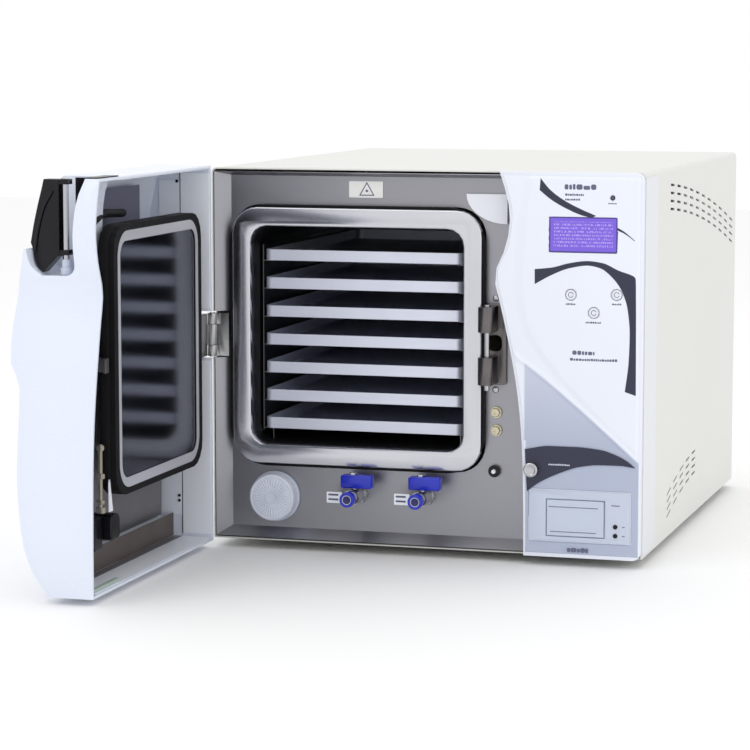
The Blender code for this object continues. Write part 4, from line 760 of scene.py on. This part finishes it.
def captionRow(name, left, middle, width, height, look, seed):
    # generic marks in place of lettering: small rounded bars of seeded widths, in one mesh
    source = np.random.default_rng(seed)
    count = max(3, int(width / (height * 0.85)))
    slots = np.cumsum(0.6 + source.random(count + 1) * 0.8)
    slots = (slots - slots[0]) / (slots[-1] - slots[0]) * width
    lift = consoleFace["proud"] + consoleFace["plateau"] * 1.05
    depth = np.array((consoleY - lift + 0.0006, consoleY - lift - 0.0001))
    allPoints, allFaces = [], []
    for number in range(count):
        start, end = slots[number], slots[number + 1] - height * 0.16
        tall = height * (0.7 + 0.3 * source.random())
        bar = roundRect(left + (start + end) / 2, middle - (height - tall) / 2, end - start, tall,
                        min(end - start, tall) * 0.3, 3)
        rings = axisPoint("Y", bar[None, :, 0], bar[None, :, 1], depth[:, None])
        base, around = number * 2 * len(bar), len(bar)
        allPoints.append(rings.reshape(-1, 3))
        allFaces += (gridFaces(2, around, True) + base).tolist()
        allFaces += [list(range(base, base + around))[::-1], list(range(base + around, base + 2 * around))]
    addPiece(name, np.concatenate(allPoints), allFaces, finishes[look])
    facingOut(name)


def ringMark(name, x, z, radius, width, look, start=0.0, end=360.0, lift=0.0008, body="cabinet", y=None):
    # a flat arc of a ring, 0.3 mm thick
    angle = np.radians(np.linspace(start, end, 48))
    radii = np.array((radius, radius + width, radius + width, radius))
    face = (consoleY if y is None else y) - lift
    depth = np.array((face, face, face + 0.0006, face + 0.0006))
    a = x + radii[None, :] * np.cos(angle)[:, None]
    b = z + radii[None, :] * np.sin(angle)[:, None]
    rings = axisPoint("Y", a, b, depth[None, :])
    return closedRings(name, rings, finishes[look], body)


knobPlan = {"radius": 0.0078, "reach": 0.0088, "flutes": 20, "fluteDepth": 0.00035}


def buildControls():  # captions, three cushioned buttons, the lamp and the power knob
    for number, (name, values) in enumerate(captionPlan.items()):
        captionRow(name, *values, seed=number)
    for node, body in (("button_left", "left_button"), ("button_right", "right_button"),
                       ("button_centre", "centre_button")):
        low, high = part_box(node)
        x, z, radius, face = (low.x + high.x) / 2, (low.z + high.z) / 2, (high.x - low.x) / 2, low.y
        # a cushioned cap: flat crown, quarter-round rim, straight skirt
        profile = ((0.0095, radius), (0.0016, radius), (0.0006, radius * 0.97), (0.0001, radius * 0.88),
                   (0.0, radius * 0.7),
                   (0.0003, radius * 0.35), (0.0004, radius * 0.05))
        cap = turned(node + "_cap", profile, (x, z, face), "Y", finishes["whitePlastic"],
                     body)
        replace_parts(cap, node)
        ringMark(node + "_ring", x, z, radius + 0.0006, 0.0009, "panelGrey", lift=0.0013)
        ringMark(node + "_icon", x, z, radius * 0.42, 0.0006, "captionInk", 20, 340, 0.0, body,
                 face + 0.00005)
    low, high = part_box("status_lamp")
    x, z = (low.x + high.x) / 2, (low.z + high.z) / 2
    dome = ((0.004, 0.0020), (0.0003, 0.0020), (-0.0002, 0.0018), (-0.0006, 0.0011), (-0.0008, 0.0001))
    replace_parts(turned("lamp_lens", dome, (x, z, low.y + 0.0003), "Y", finishes["lampLens"],
                       steps=24), "status_lamp")
    low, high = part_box("power_knob")
    x, z, face = (low.x + high.x) / 2, (low.z + high.z) / 2, low.y
    # knob: a turned cap whose rim is fluted by a cosine of the angle
    angle = np.linspace(0, 2 * math.pi, 160, endpoint=False)
    profile = np.array(((0.0155, 0.40), (0.0090, 0.40), (0.0088, 0.92), (0.0080, 1.0), (0.0016, 1.0),
                        (0.0006, 0.95), (0.0001, 0.84),
                        (0.0, 0.70), (0.0005, 0.62), (0.0007, 0.3), (0.0007, 0.02)))
    fluted = np.where((profile[:, 0] > 0.001) & (profile[:, 1] > 0.9), knobPlan["fluteDepth"], 0.0)
    wave = 0.5 + 0.5 * np.cos(knobPlan["flutes"] * angle)
    radius = profile[:, 1][:, None] * knobPlan["radius"] - fluted[:, None] * wave[None, :]
    rings = axisPoint("Y", x + radius * np.cos(angle), z + radius * np.sin(angle),
                      face + profile[:, 0][:, None])
    knob = closedRings("knob_cap", rings, finishes["pinSteel"], "knob")
    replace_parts(knob, "power_knob")
    ringMark("knob_ring", x, z, 0.0086, 0.0012, "panelGrey", -75, 75, 0.0009)
    ringMark("knob_arc", x + 0.0035, z, 0.0092, 0.0008, "panelGrey", -50, 50, 0.00095)


printerPlan = {"stripMiddle": (0.20985, 0.0424), "stripSize": (0.0212, 0.0404), "markHeight": 0.0009}
printerMarks = {  # x, height and width
    "printer_mark_top": (0.2095, 0.0572, 0.0090),
    "printer_mark_feed": (0.2180, 0.0352, 0.0028),
    "printer_mark_open": (0.2180, 0.0256, 0.0028),
}


def buildPrinter():  # the flap with its ribs, and the strip beside it with its marks
    low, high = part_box("printer_door")
    centre = ((low.x + high.x) / 2, (low.z + high.z) / 2)
    width, height = high.x - low.x, high.z - low.z
    flap = plate("printer_door_cap", roundRect(*centre, width - 0.0004, height - 0.0004, 0.0012), "Y", low.y,
                 high.y, 0.0006,
                 finishes["printerPlastic"], "paper_door")
    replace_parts(flap, "printer_door")
    # two fine ribs across the flap
    for name, z, share in (("printer_rib_top", high.z - 0.0075, 0.86),
                           ("printer_rib_low", low.z + 0.0045, 0.80)):
        line = roundRect(centre[0] - 0.002, z, width * share, 0.0007, 0.0003, 3)
        plate(name, line, "Y", low.y - 0.0003, low.y + 0.0003, 0.0001, finishes["captionInk"],
              "paper_door")
    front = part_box("printer_body")[0].y
    side = roundRect(*printerPlan["stripMiddle"], *printerPlan["stripSize"], 0.001)
    plate("printer_strip", side, "Y", front - 0.0003, front + 0.0014, 0.0003, finishes["panelGrey"])
    for name, (x, z, wide) in printerMarks.items():
        mark = roundRect(x, z, wide, printerPlan["markHeight"], 0.0004, 3)
        plate(name, mark, "Y", front - 0.0006, front, 0.0001, finishes["captionInk"])


buildConsoleSkin()
buildDisplay()
buildBands()
buildControls()
buildPrinter()
print("console built")

labelPlan = {"centre": (-0.0662, 0.3782), "size": (0.0374, 0.0175), "triangle": 0.0098, "inner": 0.78,
             "shift": (0.001, -0.0016)}


def buildLabel():
    # a film with a caution triangle, whose radius at an angle is half the triangle / cos(angle from a side)
    x, z = labelPlan["centre"]
    sheet = finish("labelFilm", (238, 238, 236), 0.4, tone=0.05, grain=1500)
    plate("caution_label", roundRect(x, z, *labelPlan["size"], 0.001), "Y", fasciaY - 0.0007, fasciaY, 0.0002,
          sheet)
    # a triangle outline: the same triangle twice, the inner one smaller
    angle = np.linspace(0, 2 * math.pi, 60, endpoint=False) + math.pi / 2
    turn = np.mod(angle - math.pi / 2, 2 * math.pi / 3) - math.pi / 3
    radius = labelPlan["triangle"] * 0.5 / np.cos(turn)
    middle = np.array((x + labelPlan["shift"][0], z + labelPlan["shift"][1]))
    outer = middle + np.stack((radius * np.cos(angle), radius * np.sin(angle)), -1)
    inner = middle + (outer - middle) * labelPlan["inner"]
    section = ((outer, fasciaY), (outer, fasciaY - 0.0009), (inner, fasciaY - 0.0009), (inner, fasciaY),
               (outer, fasciaY))
    rings = np.stack([axisPoint("Y", line[:, 0], line[:, 1], depth) for line, depth in section])
    addPiece("caution_triangle", rings, gridFaces(5, 60, True).tolist(), finishes["captionInk"])
    facingOut("caution_triangle")
    turned("caution_dot", ((0.0, 0.0014), (-0.0009, 0.0014), (-0.0009, 0.0001)),
           (x + 0.001, z - 0.0014, fasciaY), "Y",
           finishes["captionInk"], steps=20)


filterPlan = {"spokes": 36, "reliefStart": 0.004, "reliefEnd": 0.021, "relief": 0.0007}


def buildFilter():
    # the cap: a flat drum with a rounded rim; its face carries spokes, a cosine of the angle faded in and
    # out by radius
    low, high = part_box("air_filter")
    x, z, face, radius = (low.x + high.x) / 2, (low.z + high.z) / 2, low.y, (high.x - low.x) / 2
    profile = np.array(((0.0165, 1.0), (0.0135, 1.0), (0.0130, 0.94), (0.0050, 0.93), (0.0015, 0.925),
                        (0.0005, 0.90), (0.0, 0.86)))
    crown = np.stack((np.full(30, 0.0002), np.linspace(0.83, 0.02, 30)), -1)
    profile = np.concatenate((profile, crown))
    angle = np.linspace(0, 2 * math.pi, 216, endpoint=False)
    radii = profile[:, 1][:, None] * radius
    window = np.clip((radii - filterPlan["reliefStart"]) / 0.002, 0,
                     1) * np.clip((filterPlan["reliefEnd"] - radii) / 0.002, 0, 1)
    spokes = filterPlan["relief"] * window * (0.5 + 0.5 * np.cos(filterPlan["spokes"] * angle)[None, :])
    rings = 0.0003 * window * (0.5 + 0.5 * np.cos(radii * 2 * math.pi / 0.0034))
    depth = face + 0.0006 + profile[:, 0][:, None] - spokes * (profile[:, 0][:, None] < 0.0004) - rings
    points = axisPoint("Y", x + radii * np.cos(angle), z + radii * np.sin(angle), depth)
    cap = closedRings("filter_cap", points, finishes["filterPlastic"])
    turned("filter_collar",
           ((0.0, 0.0272), (-0.0030, 0.0272), (-0.0042, 0.0262), (-0.0042, 0.0255), (0.0, 0.0255)),
           (x, z, fasciaY), "Y", finishes["panelGrey"], steps=72)
    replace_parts(cap, "air_filter")


def buildPorts():  # each brass port is a round flange with a bored hexagon on it
    for node in ("port_upper", "port_lower"):
        low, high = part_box(node)
        x, z, radius = (low.x + high.x) / 2, (low.z + high.z) / 2, (high.x - low.x) / 2
        flange = turned(node + "_flange",
                        ((0.0, radius), (-0.0012, radius), (-0.0019, radius * 0.94), (-0.0019, radius * 0.3)),
                        (x, z, fasciaY), "Y", finishes["brass"], steps=48)
        turned(node + "_hex",
               ((-0.001, radius * 0.8), (-0.0042, radius * 0.8), (-0.0049, radius * 0.7),
                (-0.0049, radius * 0.34),
                               (-0.0030, radius * 0.32), (-0.0030, radius * 0.02)),
               (x, z, fasciaY), "Y", finishes["brass"], sides=6)
        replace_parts(flange, node)


def buildValveTrim():  # for each drain valve: nozzle bead and bore, wall nut, neck, stem nut and tag
    for side in ("left", "right"):
        low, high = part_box("hose_collar_" + side)
        x, z = (low.x + high.x) / 2, (low.z + high.z) / 2
        # nozzle end: a blue bead round a dark bore
        turned(f"nozzle_{side}_bead",
               ((0.0, 0.0080), (-0.0016, 0.0082), (-0.0032, 0.0078), (-0.0040, 0.0066), (-0.0036, 0.0050),
                                        (0.0, 0.0046)), (x, z, low.y + 0.0040), "Y", finishes["bluePlastic"])
        turned(f"nozzle_{side}_bore",
               ((0.0, 0.0043), (-0.0006, 0.0043), (-0.0007, 0.0040), (-0.0002, 0.0002)),
               (x, z, low.y + 0.0010), "Y", finishes["nozzleBlue"], steps=28)
        turned(f"valve_{side}_nut",
               ((0.0, 0.0098), (-0.0010, 0.0104), (-0.0066, 0.0104), (-0.0078, 0.0096), (-0.0078, 0.0060)),
               (x, z, fasciaY), "Y", finishes["pinSteel"], sides=6)
        turned(f"valve_{side}_body",
               ((0.0, 0.0070), (-0.0030, 0.0083), (-0.0075, 0.0087), (-0.0120, 0.0083), (-0.0150, 0.0070)),
               (x, z, fasciaY - 0.0075), "Y", finishes["pinSteel"], steps=32)
        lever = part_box("valve_lever_" + side)
        stemY = (lever[0].y + lever[1].y) / 2
        leverBody = side + "_lever"
        turned(f"valve_{side}_stem_nut",
               ((-0.0005, 0.0040), (0.0000, 0.0044), (0.0020, 0.0044), (0.0026, 0.0038), (0.0026, 0.0015)),
               (x, stemY, lever[1].z), "Z", finishes["pinSteel"], leverBody, sides=6)
        # a tag beside the nozzle, with two rows of generic marks
        tag = roundRect(x - 0.0205, z - 0.0015, 0.0170, 0.0118, 0.0008, 3)
        plate(f"valve_{side}_tag", tag, "Y", fasciaY - 0.0274, fasciaY - 0.0266, 0.0002, finishes["rimSheet"])
        for row, height in enumerate((0.0015, -0.0035)):
            bar = roundRect(x - 0.0215, z + height, 0.0110, 0.0020, 0.0005, 3)
            plate(f"valve_{side}_mark_{row}", bar, "Y", fasciaY - 0.0277, fasciaY - 0.0273, 0.0001,
                  finishes["captionInk"])


def buildFasciaTrim():  # the striker's two screws, and the seal round the chamber ring
    low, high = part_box("striker_block")
    for number, z in enumerate((low.z - 0.0055, high.z + 0.0055)):
        screwHead(f"striker_screw_{number}", 0.0755, z, fasciaY, "Y", -1, 0.0034, finishes["pinSteel"])
    # black seal in the gap round the ring
    ringLow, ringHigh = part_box("chamber_ring")
    centre = ((ringLow.x + ringHigh.x) / 2, (ringLow.z + ringHigh.z) / 2)
    size = ringHigh.x - ringLow.x
    inner = roundRect(*centre, size + 0.0006, size + 0.0006, 0.0383, 14)
    outer = roundRect(*centre, size + 0.0052, size + 0.0052, 0.0406, 14)
    middle = (inner + outer) / 2
    section = ((inner, fasciaY + 0.004), (inner, fasciaY - 0.0092), (middle, fasciaY - 0.0096),
               (outer, fasciaY - 0.0092),
               (outer, fasciaY + 0.004), (inner, fasciaY + 0.004))
    rings = np.stack([axisPoint("Y", line[:, 0], line[:, 1], depth) for line, depth in section])
    addPiece("ring_seal", rings, gridFaces(6, rings.shape[1], True).tolist(), finishes["blackRubber"])
    facingOut("ring_seal")


buildLabel()
buildFilter()
buildPorts()
buildValveTrim()
buildFasciaTrim()
print("fascia fittings built")

dish = {"side": 0.0165, "corner": 0.0140, "depth": 0.0019, "thick": 0.0004}
liningPlan = {  # wall thickness, sheet thickness, edge, and the heights of the floor and roof sheets
    "wall": 0.0036, "sheet": 0.0009, "shelf": 0.0008, "edge": 0.0002, "floorZ": 0.0002, "roofZ": 0.3983,
    "floorEnd": 0.3330, "roofEnd": 0.2560, "start": 0.0052,
}


def doorPlate(name, outline, low, high, edge, look, across=False):
    # outline as (across, height) and depth out of the rim, or with across set, outline as (out, height) and
    # depth across
    flat = np.asarray(outline, float)
    if across:
        flat = np.stack((hingeX - flat[:, 0], flat[:, 1]), -1)[::-1]
        return plate(name, flat, "Y", hingeY - high, hingeY - low, edge, finishes[look], "door")
    flat = np.stack((hingeY - flat[:, 0], flat[:, 1]), -1)[::-1]
    return plate(name, flat, "X", hingeX - high, hingeX - low, edge, finishes[look], "door")


def doorBox(name, low, high, edge, look, radius=0.0006):
    # corners as (across, out, height)
    outline = roundRect((low[0] + high[0]) / 2, (low[2] + high[2]) / 2, high[0] - low[0], high[2] - low[2],
                        radius, 3)
    return doorPlate(name, outline, low[1], high[1], edge, look)


def buildPlateFace():
    # dark polished sheet on the floor of the plate's dish, where the trays are seen reflected
    low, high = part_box("pressure_plate")
    centre = ((low.y + high.y) / 2, (low.z + high.z) / 2)
    width, height = high.y - low.y, high.z - low.z
    sheet = roundRect(*centre, width - 2 * dish["side"], height - 2 * dish["side"], dish["corner"], 10)
    face = high.x - dish["depth"] + dish["thick"]
    plate("plate_face", sheet, "X", face - dish["thick"], face, 0.0001, finishes["darkPlate"],
          "door")
    # bright frame round the dish: the space between two rounded rectangles
    outer = roundRect(*centre, width - 0.0200, height - 0.0130, 0.0260, 12)
    inner = roundRect(*centre, width - 0.0330, height - 0.0330, 0.0150, 12)
    section = ((outer, -0.0006), (outer, 0.0002), (inner, 0.0002), (inner, -0.0006), (outer, -0.0006))
    rings = np.stack([axisPoint("X", line[:, 0], line[:, 1], high.x + rise) for line, rise in section])
    addPiece("plate_frame", rings, gridFaces(5, rings.shape[1], True).tolist(), finishes["plateSteel"],
             "door")
    facingOut("plate_frame")


def buildDoorLining():
    wall, edge = liningPlan["wall"], liningPlan["edge"]
    # bright rim sheets on the hinge side, floor and roof, and a darker sheet behind those of the hinge side
    # and the floor
    hingeWall = (
        ("rim_sheet_hinge_top", 0.249, 0.394, 0.0010, 0.0335, "rimSheet"),
        ("rim_sheet_hinge_low", 0.004, 0.193, 0.0010, 0.0335, "rimSheet"),
        ("second_sheet_hinge", 0.024, 0.386, 0.0346, 0.0580, "innerSheet"),
    )
    for name, bottom, top, near, far, look in hingeWall:
        outline = roundRect((near + far) / 2, (bottom + top) / 2, far - near, top - bottom, 0.0008, 3)
        doorPlate(name, outline, wall, wall + liningPlan["sheet"], edge, look, across=True)
    for name, level, near, far, look in (
        ("rim_sheet_floor", "floor", 0.0010, 0.0335, "rimSheet"),
        ("second_sheet_floor", "floor", 0.0346, 0.0438, "greySheet"),
        ("rim_sheet_roof", "roof", 0.0010, 0.0335, "rimSheet"),
    ):
        z, end = liningPlan[level + "Z"], liningPlan[level + "End"]
        low, high = (liningPlan["start"], near, z), (end, far, z + liningPlan["shelf"])
        doorBox(name, low, high, edge, look, 0.0003)
    for name, low, high, look in (
        # a black strip in the gap between the rim sheet and the second sheet: painted shade of the gap
        ("lining_gap_shade", (0.0038, 0.0337, 0.004), (0.0045, 0.0344, 0.394), "blackRubber"),
        ("back_sheet", (0.0120, 0.0560, 0.024), (0.2480, 0.0568, 0.330), "greySheet"),
        # upper panel: dark slate sheet, painted shade where the inside of the shell lies deep in shade
        ("upper_panel", (0.0700, 0.0545, 0.326), (0.2480, 0.0553, 0.384), "paintedShadePanel"),
        ("lower_panel", (0.0060, 0.0440, 0.0012), (0.3200, 0.0448, 0.0260), "innerBrown"),
    ):
        doorBox(name, low, high, edge, look, 0.0003)
    # clips that hold the second sheet
    for number, z in enumerate((0.0395, 0.0450, 0.3850)):
        screwHead(f"lining_clip_{number}", hingeX - 0.0375, z, hingeY - 0.0044, "Y", -1, 0.0017,
                  finishes["blackPlastic"],
                  "door")


# height, radius, length
lockNuts = ((0.074, 0.0050, 0.006), (0.083, 0.0042, 0.004), (0.108, 0.0046, 0.005), (0.136, 0.0042, 0.005))
hosePoints = (  # across the door, out of its rim, height
    (0.292, 0.028, 0.300), (0.290, 0.024, 0.340), (0.274, 0.022, 0.3595), (0.240, 0.026, 0.3640),
    (0.200, 0.032, 0.3620), (0.160, 0.038, 0.3600),
)
cablePoints = (
    (0.288, 0.034, 0.040), (0.290, 0.036, 0.080), (0.2920, 0.034, 0.130), (0.2930, 0.034, 0.180),
    (0.2920, 0.034, 0.240), (0.2900, 0.034, 0.296),
)


def buildDoorInside():
    # the parts of the lock beside the shaft, and the hose and cable behind the plate
    doorBox("lock_motor", (0.262, 0.0030, 0.044), (0.285, 0.0280, 0.070), 0.0020, "blackPlastic",
            0.006)
    doorBox("lock_cover", (0.286, 0.0120, 0.036), (0.308, 0.0300, 0.070), 0.0020, "blackPlastic",
            0.004)
    tube("lock_rod", [doorPoint(0.296, 0.0100, 0.074), doorPoint(0.2955, 0.0100, 0.100),
                      doorPoint(0.295, 0.0100, 0.142)], 0.0024,
         finishes["rodSteel"], "door", 14, 12)
    for number, (z, radius, length) in enumerate(lockNuts):
        turned(f"lock_nut_{number}",
               ((0, radius * 0.9), (0.0006, radius), (length - 0.0006, radius), (length, radius * 0.9)),
               (hingeX - 0.0100, hingeY - 0.2955, z), "Z", finishes["rodSteel"], "door", sides=6)
    fin = np.array(((0.2780, 0.0740), (0.2870, 0.0740), (0.2870, 0.1020), (0.2850, 0.1060)))
    doorPlate("lock_fin", fin, 0.0040, 0.0056, 0.0004, "whitePlastic")
    doorBox("lock_seal", (0.262, 0.0040, 0.0012), (0.330, 0.0100, 0.0040), 0.0008, "greenSeal",
            0.001)
    for name, points, radius in (("door_hose", hosePoints, 0.0042), ("door_cable", cablePoints, 0.0022)):
        path = [doorPoint(*point) for point in points]
        tube(name, path, radius, finishes["blackRubber"], "door")


handlePlan = {"linerThick": 0.0008, "capLow": 0.4021, "capRise": 0.0012, "ferrule": 0.0056, "screw": 0.0044}
# the pocket's own curve: depth against height above its floor
pocketRise = np.array((0.000, 0.050, 0.079, 0.093))
pocketDepth = np.array((0.0240, 0.0228, 0.0195, 0.0145))


def buildHandleTrim():
    # black sheet across the pocket's inner end: one side follows the pocket's own curve of depth against
    # height
    rise = np.linspace(0.020, 0.0925, 24)
    depth = smoothCurve(pocketRise, pocketDepth, rise) + 0.0004
    curve = np.stack((depth, 0.308 + rise), -1)
    outline = np.concatenate((curve, ((0.046, 0.4005), (0.046, 0.328))))
    outline = np.stack((hingeX - outline[:, 0], outline[:, 1]), -1)
    thick = handlePlan["linerThick"]
    plate("pocket_liner", outline, "Y", hingeY - 0.2622 - thick, hingeY - 0.2622, 0.0001,
          finishes["blackPlastic"], "door")
    cap = np.array(((0.0012, -0.2620), (0.0146, -0.2620), (0.0146, -0.3135), (0.0100, -0.3140),
                    (0.0022, -0.3120)))
    cap = np.stack((hingeX - cap[:, 0], hingeY + cap[:, 1]), -1)[::-1]
    plate("pocket_top_cap", cap, "Z", handlePlan["capLow"], handlePlan["capLow"] + handlePlan["capRise"],
          0.0004, finishes["blackPlastic"], "door")
    bead = [(hingeX - 0.0500, -0.5974, 0.390), (hingeX - 0.0600, -0.5974, 0.372),
            (hingeX - 0.0660, -0.5974, 0.350),
            (hingeX - 0.0690, -0.5974, 0.332)]
    tube("handle_bead", bead, 0.0013, finishes["blackPlastic"], "handle", 12, 30)
    shaftX, shaftY = hingeX - 0.0398, hingeY - 0.3035
    radius = handlePlan["ferrule"]
    turned("shaft_ferrule",
           ((0.0002, radius), (0.0060, radius), (0.0072, radius * 0.92), (0.0078, radius * 0.75),
            (0.0150, radius * 0.74)),
           (shaftX, shaftY, 0.3082), "Z", finishes["panelGrey"], "door", steps=32)
    screwHead("handle_screw", shaftX, shaftY, 0.4010, "Z", 1, handlePlan["screw"], finishes["pinSteel"],
              "handle")


buildPlateFace()
buildDoorLining()
buildDoorInside()
buildHandleTrim()
print("door built")


rearScrews = ((-0.220, 0.385), (0.0, 0.385), (0.220, 0.385), (-0.220, 0.015), (0.220, 0.015), (-0.220, 0.2),
              (0.220, 0.2))
guardPlan = {"centre": (-0.110, 0.300), "rings": (0.014, 0.024, 0.034), "ringY": 0.2868, "spokeY": 0.2862,
             "reach": 0.038}


def buildCoverTrim():
    # the console's own side, a thin sheet over the cover's front corner
    side = roundRect(-0.2505, 0.199, 0.0660, 0.3920, 0.004)
    plate("console_side", side, "X", rightX, rightX + 0.0004, 0.0003, finishes["sidePlastic"])
    for number, (x, z) in enumerate(rearScrews):
        screwHead(f"rear_screw_{number}", x, z, rearY, "Y", 1, 0.0034, finishes["pinSteel"])
    # blower guard: three wire rings and two wires across them
    centre, spokeY = guardPlan["centre"], guardPlan["spokeY"]
    for number, radius in enumerate(guardPlan["rings"]):
        angle = np.linspace(0, 2 * math.pi, 60)
        path = np.stack((centre[0] + radius * np.cos(angle), np.full(60, guardPlan["ringY"]),
                         centre[1] + radius * np.sin(angle)), -1)
        tube(f"guard_ring_{number}", path, 0.0009, finishes["pinSteel"], sides=8, steps=72)
    for number, turn in enumerate((0.25, 0.75)):
        reach = guardPlan["reach"] * np.array((math.cos(turn * math.pi), math.sin(turn * math.pi)))
        path = [(centre[0] + side * reach[0], spokeY, centre[1] + side * reach[1]) for side in (-1, 0, 1)]
        tube(f"guard_spoke_{number}", path, 0.0010, finishes["pinSteel"], sides=8, steps=12)
    disc = ((0.0, 0.0395), (0.0004, 0.0395), (0.0006, 0.0390), (0.0006, 0.0005))
    turned("guard_back", disc, (*centre, rearY), "Y", finishes["blackPlastic"], steps=64)
    plate("rating_plate", roundRect(0.110, 0.300, 0.075, 0.045, 0.003), "Y", rearY, rearY + 0.0006, 0.0002,
          finishes["panelGrey"])


buildCoverTrim()
print("cover and back built")
